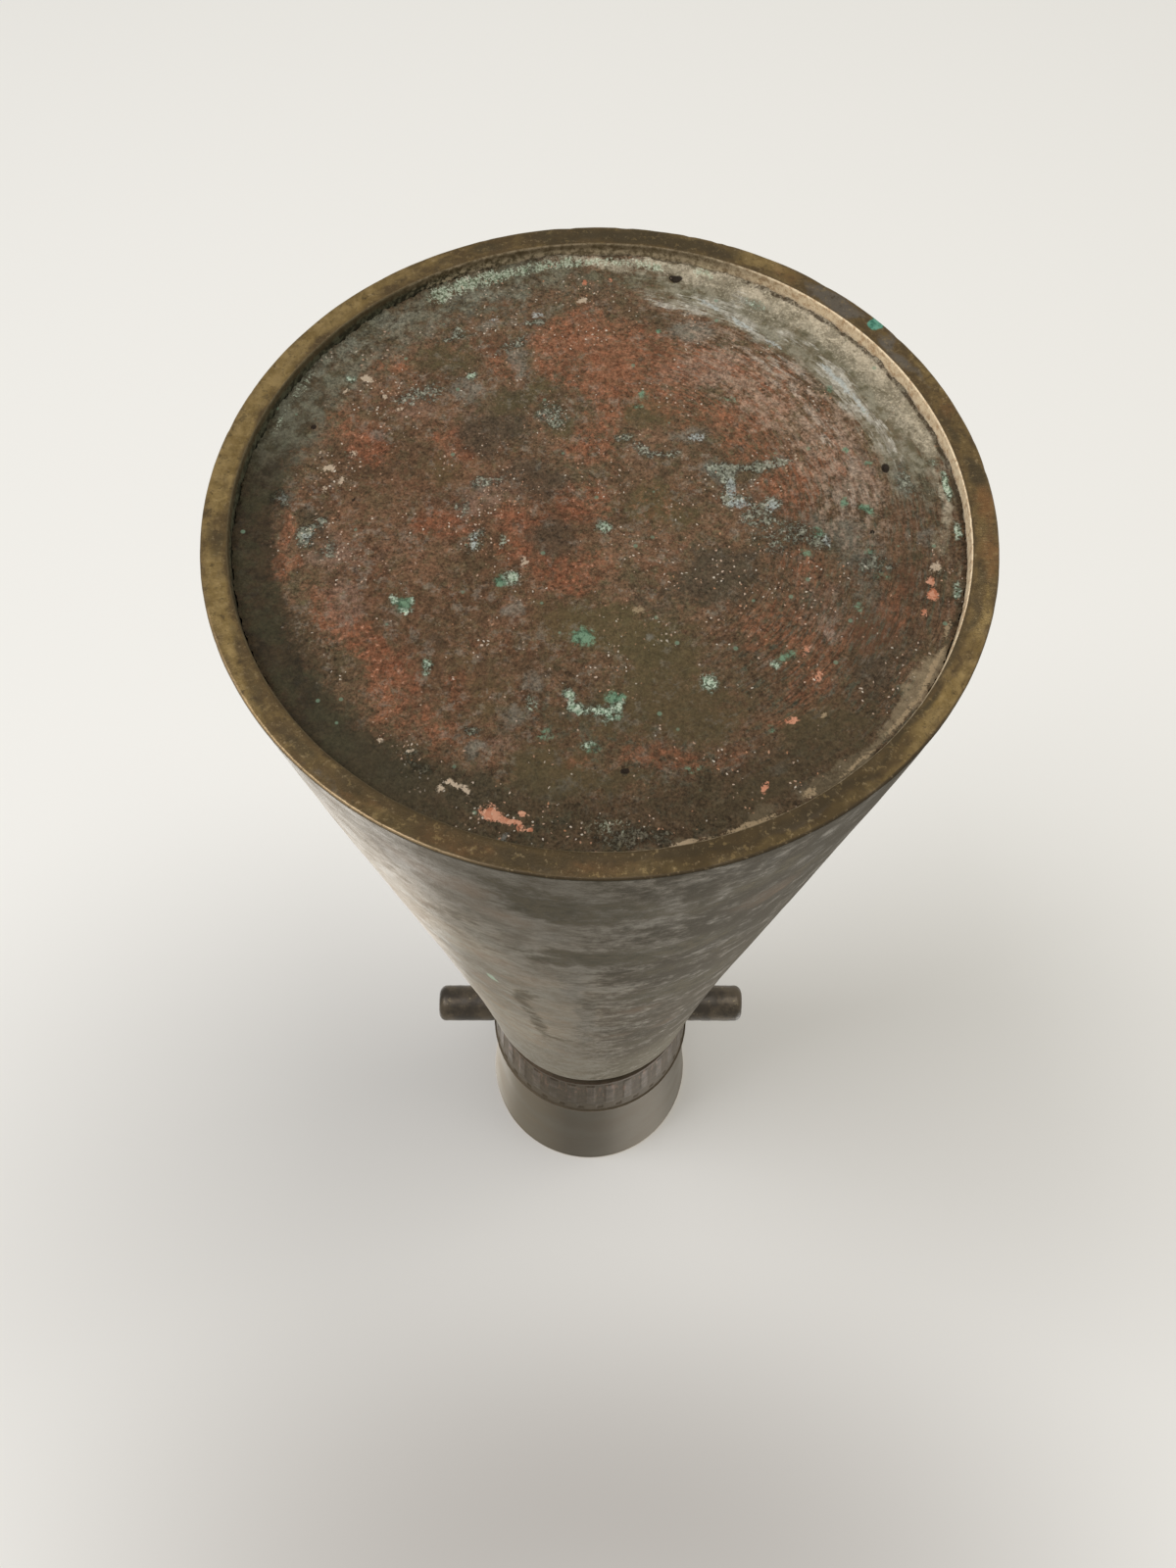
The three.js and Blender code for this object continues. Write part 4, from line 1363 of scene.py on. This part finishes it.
def plateFinish():
    material, tree, shader = startFinish("corrodedPlate")
    paints = platePaints
    place = seenPlace(tree)
    direction, radius, _ = axisPlace(tree, place)
    closely = stir(tree, place, 1.1, 0.9)

    cloud = grain(tree, place, 12, 5, 0.6)
    mottle = grain(tree, closely, 2.6, 7, 0.72)
    islands = grain(tree, closely, 0.9, 5, 0.75)
    specks = grain(tree, place, 0.36, 3, 0.7)
    flakes = channels(tree, cells(tree, stir(tree, place, 0.8, 0.9), 0.8)["Color"])
    tints = channels(tree, grain(tree, stir(tree, place, 4, 4), 5, 6, 0.7, "Color"))
    strokes = drawnGrain(tree, direction, radius, 9, 2.6, 4, 0.7)
    ribs = drawnGrain(tree, direction, radius, 11, 1.1, 4, 0.65)
    strands = drawnGrain(tree, direction, radius, 5, 4.5, 3, 0.6)

    scrubbed = times(tree, towards(tree, direction, 8, 72, 30), between(tree, radius, 8, 30))
    crystals = mixValue(tree, times(tree, scrubbed, 0.5), islands, strokes)
    loose = grain(tree, stir(tree, place, 1.6, 1.4), 1.5, 5, 0.75, "Color")
    drawn = drawnGrain(tree, direction, radius, 16, 1.7, 4, 0.7, "Color")
    drawnShare = times(tree, scrubbed, between(tree, radius, 16, 26), 0.8)
    flecks = channels(tree, mixPaint(tree, drawnShare, loose, drawn))
    grit = channels(tree, cells(tree, place, 0.42)["Color"])
    ragged = mixValue(tree, 0.5, mottle, islands)
    waver = times(tree, maths(tree, "SUBTRACT", ragged, 0.5), 14.0)
    rugged = maths(tree, "ADD", radius, waver)  # the radius, wavering

    # Broad fields
    ground = twoTone(tree, cloud, 0.38, 0.62, paints["ground"])
    ground = tinted(tree, ground, tints[0], 0.5, 0.62, 0.6, paints["groundPale"])
    ground = tinted(tree, ground, tints[1], 0.5, 0.6, 0.6, paints["groundOlive"])
    ground = tinted(tree, ground, tints[2], 0.52, 0.62, 0.5, paints["groundRed"])
    deep = broken(tree, marked(tree, "deepRust"), ragged, 2.4, 0.3)
    ground = coat(tree, ground, deep, 0.8, paints["deepRust"])
    rosy = broken(tree, marked(tree, "rosy"), ragged, 2.6, 0.3)
    ground = coat(tree, ground, rosy, 0.7, paints["rosy"])
    copperField = marked(tree, "copper")
    tinge = broken(tree, times(tree, copperField, 0.8), mottle, 2.6, 0.6)
    ground = coat(tree, ground, tinge, 0.4, paints["tinge"])
    ground = tinted(tree, ground, flecks[1], 0.52, 0.6, 0.6, paints["fleckOlive"])
    ground = tinted(tree, ground, flecks[2], 0.54, 0.62, 0.45, paints["fleckPale"])
    rusty = maths(tree, "MULTIPLY_ADD", between(tree, copperField, 0.0, 0.5), 0.5, 0.12)
    ground = coat(tree, ground, between(tree, flecks[0], 0.52, 0.58), rusty, paints["rusty"])
    clumps = times(tree, between(tree, flecks[1], 0.48, 0.4), between(tree, copperField, 0.2, 0.6))
    ground = coat(tree, ground, clumps, 0.6, paints["clumps"])
    ground = coat(tree, ground, between(tree, flecks[2], 0.47, 0.4), 0.6, paints["gaps"])
    lowRight = times(tree, towards(tree, direction, 332, 30, 18), between(tree, radius, 18, 26))
    furrows = between(tree, mixValue(tree, 0.5, ribs, strokes), 0.47, 0.4)
    ground = coat(tree, ground, furrows, times(tree, lowRight, 0.7), paints["furrows"])
    rightEdge = towards(tree, direction, 346, 26, 14)
    lowEdge = towards(tree, direction, 286, 34, 14)
    tealField = times(tree, maths(tree, "ADD", rightEdge, lowEdge), between(tree, radius, 24, 32))
    teal = between(tree, flecks[0], 0.46, 0.41)
    ground = coat(tree, ground, teal, times(tree, tealField, 0.5), paints["teal"])
    dark = broken(tree, marked(tree, "dark"), ragged, 2.8, 0.28)
    ground = coat(tree, ground, dark, 0.8, paints["dark"])
    olive = broken(tree, marked(tree, "olive"), ragged, 2.8, 0.28)
    ground = coat(tree, ground, olive, 0.8, paints["olive"])
    moss = broken(tree, marked(tree, "moss"), ragged, 2.8, 0.3)
    ground = coat(tree, ground, moss, 0.8, paints["moss"])
    haze = broken(tree, marked(tree, "haze"), ragged, 3.4, 0.35)
    ground = coat(tree, ground, haze, 0.7, paints["haze"])

    # Grains of bare copper, drawn out where the plate was scrubbed
    grains = broken(tree, times(tree, copperField, 0.62), crystals, 5, 0.4)
    ground = coat(tree, ground, grains, 0.42, mixPaint(tree, flakes[0], *paints["rust"]))
    leftRed = maths(tree, "MAXIMUM", between(tree, copperField, 0.0, 0.6), 0.45)
    leftRed = times(tree, leftRed, between(tree, radius, 43, 36, 0.3))
    ground = coat(tree, ground, leftRed, towards(tree, direction, 196, 58, 24), paints["leftRed"])
    salmon = times(tree, between(tree, crystals, 0.6, 0.65), between(tree, copperField, 0.15, 0.7))
    ground = coat(tree, ground, salmon, 0.65, paints["salmon"])
    stray = times(tree, between(tree, islands, 0.6, 0.7), between(tree, tints[0], 0.46, 0.54))
    ground = coat(tree, ground, stray, 0.5, paints["stray"])
    film = times(tree, between(tree, flecks[2], 0.5, 0.6), between(tree, tints[2], 0.46, 0.54))
    ground = coat(tree, ground, film, 0.3, paints["film"])

    # Ash and sand along the wall, and pale scrubbed strokes
    rimField = times(tree, between(tree, radius, 39.5, 43.5), towards(tree, direction, 44, 34, 16))
    torn = mixValue(tree, 0.5, ragged, strokes)
    ashen = broken(tree, times(tree, rimField, 0.95), torn, 3.4, 0.35)
    ground = coat(tree, ground, ashen, 0.75, twoTone(tree, mottle, 0.42, 0.58, paints["ashen"]))
    sand = broken(tree, times(tree, marked(tree, "sand"), 0.8), ragged, 3, 0.35)
    sandPaint = twoTone(tree, rugged, 45, 50.6, paints["sand"])
    for texture, low, high, most, name in (
        (tints[2], 0.48, 0.56, 0.6, "sandOlive"),
        (islands, 0.46, 0.36, 0.6, "sandGaps"),
        (specks, 0.54, 0.66, 0.4, "sandSpecks"),
    ):
        sandPaint = mixPaint(tree, between(tree, texture, low, high, most), sandPaint, paints[name])
    lowPaint = mixPaint(tree, islands, *paints["sandLow"])
    sandPaint = mixPaint(tree, towards(tree, direction, 306, 46, 16), sandPaint, lowPaint)
    ground = coat(tree, ground, sand, 0.8, sandPaint)
    streakField = marked(tree, "streaks")
    drawnOut = mixValue(tree, 0.4, ribs, strokes)
    pale = broken(tree, times(tree, streakField, 0.6), drawnOut, 7, 0.3)
    ground = coat(tree, ground, pale, 0.62, mixPaint(tree, flakes[1], *paints["strokes"]))
    washed = times(
        tree,
        between(tree, radius, 24, 34),
        between(tree, radius, 44, 38),
        towards(tree, direction, 30, 34, 16),
    )
    ribbed = mixValue(tree, 0.5, ribs, islands)
    washed = broken(tree, times(tree, washed, 0.55), ribbed, 6, 0.35)
    ground = coat(tree, ground, washed, 0.55, paints["washed"])
    scored = times(tree, between(tree, strands, 0.38, 0.3), between(tree, streakField, 0.1, 0.5))
    ground = coat(tree, ground, scored, 0.7, paints["scored"])
    ground = coat(tree, ground, between(tree, strands, 0.68, 0.74, 0.4), scrubbed, paints["lines"])

    # Ash with brighter cores
    dusty = mixValue(tree, 0.4, islands, specks)
    ash = broken(tree, marked(tree, "ash"), dusty, 6.5, 0.3)
    ground = coat(tree, ground, ash, 0.75, mixPaint(tree, grit[2], *paints["ash"]))
    ice = broken(tree, marked(tree, "ice"), mixValue(tree, 0.5, crystals, specks), 6.5, 0.3)
    ground = coat(tree, ground, ice, 0.6, paints["ice"])

    # Painted wall shadow over dark patina at the left border, darker lower rim, grey upper rim, the
    # crack at the wall, and painted shade on the lower right quarter
    # painted shadow of the wall along the left border, over dark olive patina
    border = times(tree, between(tree, rugged, 43, 46.5), towards(tree, direction, 198, 46, 14))
    shaded = between(tree, tints[1], 0.48, 0.58, 0.7)
    borderShadePaint = twoTone(tree, mottle, 0.4, 0.6, paints["border"])
    borderShadePaint = mixPaint(tree, shaded, borderShadePaint, paints["borderOlive"])
    ground = coat(tree, ground, border, 0.9, borderShadePaint)
    lowRim = times(tree, between(tree, rugged, 39, 45), towards(tree, direction, 270, 44, 16))
    ground = coat(tree, ground, lowRim, 0.65, paints["lowRim"])
    upperRim = times(tree, between(tree, rugged, 41, 46), towards(tree, direction, 130, 34, 12))
    ground = coat(tree, ground, upperRim, 0.6, twoTone(tree, mottle, 0.4, 0.6, paints["upperRim"]))
    crevice = times(tree, between(tree, radius, 50.25, 50.6), towards(tree, direction, 22, 44, 12))
    crevice = broken(tree, times(tree, crevice, 0.6), islands, 4, 0.3)
    ground = coat(tree, ground, crevice, 0.85, paints["crevice"])
    # painted shade: the lower right quarter made darker
    lowRightShade = times(tree, between(tree, radius, 16, 36), towards(tree, direction, 310, 52, 26))
    ground = coat(tree, ground, lowRightShade, 0.34, paints["lowRightShadePaint"])

    # Fine tone: flakes and speckle, quieter on the smooth fields
    smooth = maths(tree, "MAXIMUM", maths(tree, "MAXIMUM", olive, deep), border)
    powdery = maths(tree, "MAXIMUM", sand, ashen)
    quiet = maths(tree, "MAXIMUM", times(tree, smooth, 0.4), times(tree, powdery, 0.6))
    facets = maths(tree, "ADD", times(tree, flakes[0], 0.3), times(tree, grit[0], 0.4))
    tone = maths(tree, "ADD", times(tree, specks, 2.4), facets)
    tone = maths(tree, "MAXIMUM", maths(tree, "SUBTRACT", tone, 0.58), 0.35)
    ground = mixPaint(tree, quiet, scaled(tree, ground, tone), ground)

    # Verdigris, chalk and chips
    green = broken(tree, marked(tree, "verdigris"), islands, 2.6, 0.35)
    ground = coat(tree, ground, green, 0.85, twoTone(tree, islands, 0.4, 0.6, paints["verdigris"]))
    chalk = broken(tree, marked(tree, "chalk"), mixValue(tree, 0.35, islands, specks), 4.5, 0.35)
    ground = coat(tree, ground, chalk, 0.8, twoTone(tree, specks, 0.4, 0.6, paints["chalk"]))
    teeth = mixValue(tree, 0.6, specks, drawnGrain(tree, direction, radius, 70, 0.5, 4, 0.7))
    frost = broken(tree, times(tree, marked(tree, "crust"), 0.7), teeth, 6.5, 0.3)
    ground = coat(tree, ground, frost, 0.65, twoTone(tree, specks, 0.42, 0.6, paints["crust"]))
    tan = broken(tree, marked(tree, "tan"), dusty, 5, 0.25)
    tanPaint = mixPaint(tree, towards(tree, direction, 312, 32, 8), *paints["tan"])
    ground = coat(tree, ground, tan, 0.8, tanPaint)
    chips = broken(tree, marked(tree, "chips"), dusty, 5, 0.2)
    ground = coat(tree, ground, chips, 0.95, mixPaint(tree, flakes[1], *paints["chips"]))

    # Pits, pinholes, green pinheads and bright crumbs in clusters
    ground = tinted(tree, ground, islands, 0.34, 0.27, 0.75, paints["pits"])
    holes = between(tree, marked(tree, "holes"), 0.35, 0.6, 0.95)
    ground = mixPaint(tree, holes, ground, paints["holes"])
    dots = cells(tree, place, 2.6)
    rarity = channels(tree, dots["Color"])[0]
    spots = between(tree, dots["Distance"], 0.15, 0.1)
    heads = times(tree, spots, between(tree, rarity, 0.8, 0.84))
    ground = coat(tree, ground, heads, 0.6, paints["pinheads"])
    crumbs = cells(tree, closely, 0.6)
    chance = channels(tree, crumbs["Color"])
    cluster = between(tree, grain(tree, place, 7, 4, 0.6), 0.46, 0.64, 0.4)
    cluster = maths(tree, "ADD", cluster, times(tree, marked(tree, "crumbs"), 0.5))
    rare = between(tree, maths(tree, "ADD", chance[0], cluster), 0.98, 1.1)
    bright = times(tree, between(tree, crumbs["Distance"], 0.3, 0.16), rare)
    loud = maths(tree, "SUBTRACT", 1.0, maths(tree, "MAXIMUM", quiet, border))
    crumbPaint = mixPaint(tree, chance[1], *paints["crumbs"])
    ground = coat(tree, ground, times(tree, bright, loud), 0.8, crumbPaint)

    rough = mixValue(tree, quiet, 0.62, 0.4)
    rough = mixValue(tree, maths(tree, "MAXIMUM", haze, sand), rough, 0.85)
    plug(tree, shader, {"Base Color": ground, "Roughness": rough, **plateGloss})
    crust = mixValue(tree, quiet, mixValue(tree, 0.4, crystals, specks), 0.5)
    relief = maths(tree, "MULTIPLY_ADD", maths(tree, "MAXIMUM", ash, chalk), 0.25, crust)
    setBump(tree, shader, relief, 0.5)
    return material


neckPaints = {
    "skin": ((49, 44, 34), (60, 53, 42)),
    "green": (54, 51, 39),
    "brown": (80, 66, 52),
    "lightBesideBand": (98, 88, 72),
    "lip": (140, 126, 104),
    "bore": ((52, 46, 36), (84, 76, 60)),
    "boreGreen": (108, 120, 100),
}


def neckFinish():
    material, tree, shader = startFinish("bronzeNeck")
    paints = neckPaints
    place = seenPlace(tree)
    direction, _, height = axisPlace(tree, place)
    broad = grain(tree, stir(tree, place, 10, 8), 20, 3, 0.5)
    middle = grain(tree, place, 6, 3, 0.5)
    fine = grain(tree, place, 0.8, 5, 0.7)
    skin = twoTone(tree, broad, 0.36, 0.64, paints["skin"])
    skin = brighten(tree, towards(tree, direction, 80, 94, 40), skin, 1.6)
    skin = tinted(tree, skin, middle, 0.46, 0.32, 0.15, paints["green"])
    skin = tinted(tree, skin, middle, 0.56, 0.72, 0.08, paints["brown"])
    # painted light: a lighter strip of the neck above the band, against the band's shadow line
    lightBesideBand = between(tree, height, bandTop.z + 4, bandTop.z + 0.6, 0.7)
    skin = mixPaint(tree, lightBesideBand, skin, paints["lightBesideBand"])
    # painted highlight: the left side much lighter, a painted reflection
    skin = brighten(tree, towards(tree, direction, 206, 32, 22), skin, 3.0)
    lip = between(tree, height, mouthHeight - 1.6, mouthHeight - 0.2)
    skin = mixPaint(tree, broken(tree, lip, middle, 0.9, 0.3), skin, paints["lip"])
    normal = tree.nodes.new("ShaderNodeTexCoord").outputs["Normal"]
    inside = between(tree, outwardness(tree, normal, direction), 0.0, -0.4)
    bore = twoTone(tree, middle, 0.4, 0.6, paints["bore"])
    bore = tinted(tree, bore, fine, 0.6, 0.7, 0.5, paints["boreGreen"])
    skin = mixPaint(tree, inside, skin, bore)
    rough = mixValue(tree, between(tree, broad, 0.3, 0.7), 0.42, 0.5)
    rough = mixValue(tree, inside, rough, 0.8)
    metal = mixValue(tree, inside, 0.6, 0.1)
    looks = {"Base Color": skin, "Roughness": rough, "Metallic": metal}
    plug(tree, shader, {**looks, **bronzeGloss})
    setBump(tree, shader, fine, 0.008)
    return material


bandPaints = {
    "skin": ((64, 56, 44), (76, 67, 53)),
    "strokes": ((56, 42, 32), (74, 57, 44)),
    "strokesDark": (50, 37, 27),
    "strokesLight": (120, 92, 76),
    "hollow": (84, 70, 56),
    "border": (86, 76, 61),
    "edge": (98, 87, 70),
}


def bandFinish():
    material, tree, shader = startFinish("bronzeBand")
    paints = bandPaints
    place = seenPlace(tree)
    direction, radius, height = axisPlace(tree, place)
    slope = (bandGround(bandTop.z) - bandGround(bandLow.z)) / (bandTop.z - bandLow.z)
    atZero = bandGround(bandLow.z) - slope * bandLow.z
    groundRadius = maths(tree, "MULTIPLY_ADD", height, slope, atZero)
    proud = maths(tree, "SUBTRACT", radius, groundRadius)
    middle = grain(tree, place, 3.5, 6, 0.65)
    fine = grain(tree, place, 0.8, 5, 0.7)
    wornAway = grain(tree, place, 7, 3, 0.5)
    skin = twoTone(tree, middle, 0.4, 0.6, paints["skin"])
    worn = mixValue(tree, 0.5, middle, wornAway)
    high = broken(tree, between(tree, proud, 0.0, 0.3), worn, 3, 0.5)
    wavering = maths(tree, "ADD", height, times(tree, wornAway, 16.0))
    most = mixValue(tree, between(tree, wavering, 264, 254), 0.15, 0.6)
    skin = coat(tree, skin, high, most, twoTone(tree, fine, 0.35, 0.65, paints["strokes"]))
    upright = drawnGrain(tree, direction, height, 30, 0.14, 3, 0.6)
    inStrokes = times(tree, between(tree, height, 234, 237), between(tree, height, 254, 244))
    marksOn = times(tree, inStrokes, between(tree, wornAway, 0.34, 0.52))
    darkShare, lightShare = times(tree, marksOn, 0.6), times(tree, marksOn, 0.5)
    skin = coat(tree, skin, between(tree, upright, 0.5, 0.6), darkShare, paints["strokesDark"])
    skin = coat(tree, skin, between(tree, upright, 0.46, 0.38), lightShare, paints["strokesLight"])
    speckled = mixValue(tree, 0.5, fine, wornAway)
    hollow = broken(tree, between(tree, proud, 0.1, -0.1), speckled, 3, 0.5)
    skin = coat(tree, skin, hollow, 0.25, paints["hollow"])
    skin = tinted(tree, skin, height, 255, 262.6, 0.45, paints["border"])
    # lighter at the top edge, partly neck colour and partly painted light against the shadow line
    # there
    skin = tinted(tree, skin, height, 262.6, 263.8, 0.5, paints["edge"])
    # painted highlight: the left side made lighter
    skin = brighten(tree, towards(tree, direction, 200, 32, 26), skin, 1.5)
    looks = {"Base Color": skin, "Roughness": mixValue(tree, high, 0.65, 0.5), "Metallic": 0.3}
    plug(tree, shader, {**looks, **bronzeGloss})
    setBump(tree, shader, mixValue(tree, 0.4, fine, middle), 0.1)
    return material


earPaints = {
    "skin": ((56, 49, 40), (88, 77, 62)),
    "fineLight": (126, 112, 92),
    "chipped": (158, 146, 112),
}


def earFinish():
    material, tree, shader = startFinish("darkEarBronze")
    place = seenPlace(tree)
    broad = grain(tree, stir(tree, place, 4, 3), 6, 5, 0.6)
    fine = grain(tree, place, 0.7, 5, 0.7)
    worn = grain(tree, place, 3, 3, 0.6)
    skin = twoTone(tree, broad, 0.38, 0.62, earPaints["skin"])
    skin = tinted(tree, skin, fine, 0.6, 0.75, 0.4, earPaints["fineLight"])
    chipped = times(tree, between(tree, fine, 0.58, 0.64), between(tree, worn, 0.56, 0.62))
    skin = coat(tree, skin, chipped, 0.7, earPaints["chipped"])
    rough = mixValue(tree, broad, 0.3, 0.55)
    plug(tree, shader, {"Base Color": skin, "Roughness": rough, "Metallic": 0.5})
    setBump(tree, shader, mixValue(tree, 0.4, fine, broad), 0.1)
    return material


solderPaints = {"skin": ((98, 98, 92), (150, 150, 144)), "grime": (70, 66, 56)}


def solderFinish():
    material, tree, shader = startFinish("dullSolder")
    place = seenPlace(tree)
    middle = grain(tree, place, 4, 5, 0.6)
    fine = grain(tree, place, 0.7, 4, 0.7)
    skin = twoTone(tree, middle, 0.38, 0.62, solderPaints["skin"])
    skin = tinted(tree, skin, fine, 0.6, 0.75, 0.5, solderPaints["grime"])
    rough = mixValue(tree, middle, 0.45, 0.7)
    plug(tree, shader, {"Base Color": skin, "Roughness": rough, "Metallic": 0.7})
    setBump(tree, shader, fine, 0.15)
    return material


# Stage: a pale sheet on each side, each seen only from its own front, and soft lamps for both

stageSetup = {
    "size": 6,
    "sheetPaint": paint(246, 243, 234),
    "shadePaint": paint(176, 170, 162),
    "sheetGap": 0.0002,
    "mouthShades": [(0, -180, 160, 80, 0, 0.55), (0, -60, 260, 130, 0, 0.35)],
    "mouthFade": (800, 1300),
    "footFade": (500, 1600),
    "worldPaint": paint(228, 226, 218),
    "worldLight": (1, 0.99, 0.98, 1),
    "worldStrength": 0.42,
    "aim": (0, 0, 0.1),
    "lamps": [  # name, place, size, power and colour
        ("lampBelowLeft", (0.75, -0.15, -1.35), 0.7, 11.7, (0.97, 1, 1.1)),
        ("lampBelowRight", (-0.55, 0.05, -1.5), 0.8, 10.4, (1, 1, 1)),
        ("lampAboveFront", (-0.9, -0.9, 1.5), 1.0, 11, (1, 1, 1)),
        ("lampAboveBack", (0.9, 0.8, 1.7), 1.6, 12, (1, 1, 1)),
    ],
}


def makeSheet(name, height, faceDown, fade, shadeOvals):
    clearSelection()
    bpy.ops.mesh.primitive_plane_add(size=stageSetup["size"], location=(0, 0, height))
    sheet = bpy.context.object
    sheet.name = name
    bpy.ops.object.transform_apply()
    if faceDown:
        editAll(sheet)
        bpy.ops.mesh.flip_normals()
        bpy.ops.object.mode_set(mode="OBJECT")
    material = bpy.data.materials.new(name)
    material.use_nodes = True
    tree = material.node_tree
    tree.nodes.remove(tree.nodes["Principled BSDF"])
    place = seenPlace(tree)
    flat = vectorMaths(tree, "MULTIPLY", place, (1, 1, 0))
    away = vectorMaths(tree, "LENGTH", flat, result="Value")
    tint = stageSetup["sheetPaint"]
    if shadeOvals:
        tint = mixPaint(tree, ovals(tree, flat, shadeOvals), tint, stageSetup["shadePaint"])
    matt = addNode(tree, "ShaderNodeBsdfDiffuse", {"Color": tint})
    clear = addNode(tree, "ShaderNodeBsdfTransparent", {})
    hidden = tree.nodes.new("ShaderNodeNewGeometry").outputs["Backfacing"]
    hidden = maths(tree, "MAXIMUM", hidden, between(tree, away, *fade))
    if faceDown:  # glancing views from the side look under this sheet
        glancing = tree.nodes.new("ShaderNodeLayerWeight").outputs["Facing"]
        hidden = maths(tree, "MAXIMUM", hidden, between(tree, glancing, 0.5, 0.53))
    sides = {0: hidden, 1: matt.outputs[0], 2: clear.outputs[0]}
    both = addNode(tree, "ShaderNodeMixShader", sides)
    plug(tree, tree.nodes["Material Output"], {"Surface": both.outputs[0]})
    sheet.data.materials.append(material)
    sheet.visible_shadow = False
    sheet.visible_diffuse = False
    sheet.visible_glossy = False


def makeStage():
    gap, mouthShades = stageSetup["sheetGap"], stageSetup["mouthShades"]
    makeSheet("mouthSheet", mouthHeight * mm + gap, True, stageSetup["mouthFade"], mouthShades)
    makeSheet("footSheet", -gap, False, stageSetup["footFade"], [])
    world = bpy.data.worlds.new("paleRoom")
    bpy.context.scene.world = world
    world.use_nodes = True
    tree = world.node_tree
    light = tree.nodes["Background"]
    plug(tree, light, {"Color": stageSetup["worldLight"], "Strength": stageSetup["worldStrength"]})
    sockets = {"Color": stageSetup["worldPaint"], "Strength": 1.0}
    shown = addNode(tree, "ShaderNodeBackground", sockets)
    rays = tree.nodes.new("ShaderNodeLightPath")
    seen = maths(tree, "MAXIMUM", rays.outputs["Is Camera Ray"], rays.outputs["Is Glossy Ray"])
    both = addNode(tree, "ShaderNodeMixShader", {0: seen, 1: light.outputs[0], 2: shown.outputs[0]})
    plug(tree, tree.nodes["World Output"], {"Surface": both.outputs[0]})
    for name, place, size, power, colour in stageSetup["lamps"]:
        bpy.ops.object.light_add(type="AREA", location=place)
        lamp = bpy.context.object
        lamp.name = name
        aim = Vector(stageSetup["aim"]) - Vector(place)
        lamp.rotation_euler = aim.to_track_quat("-Z", "Y").to_euler()
        lamp.data.size = size
        lamp.data.energy = power
        lamp.data.color = colour
        lamp.visible_camera = False
    print("stage and lamps done")


earHeight = (bandLow.z + bandTop.z) / 2
earMaterial = earFinish()
makeBody(bodyFinish())
makePlate(plateFinish())
makeNeck(neckFinish(), earHeight)
makeBand(bandFinish(), earHeight)
makeEar("earRight", "ear_right", 1, earMaterial, earHeight)
makeEar("earLeft", "ear_left", -1, earMaterial, earHeight)
makeSolder(solderFinish())
makeStage()
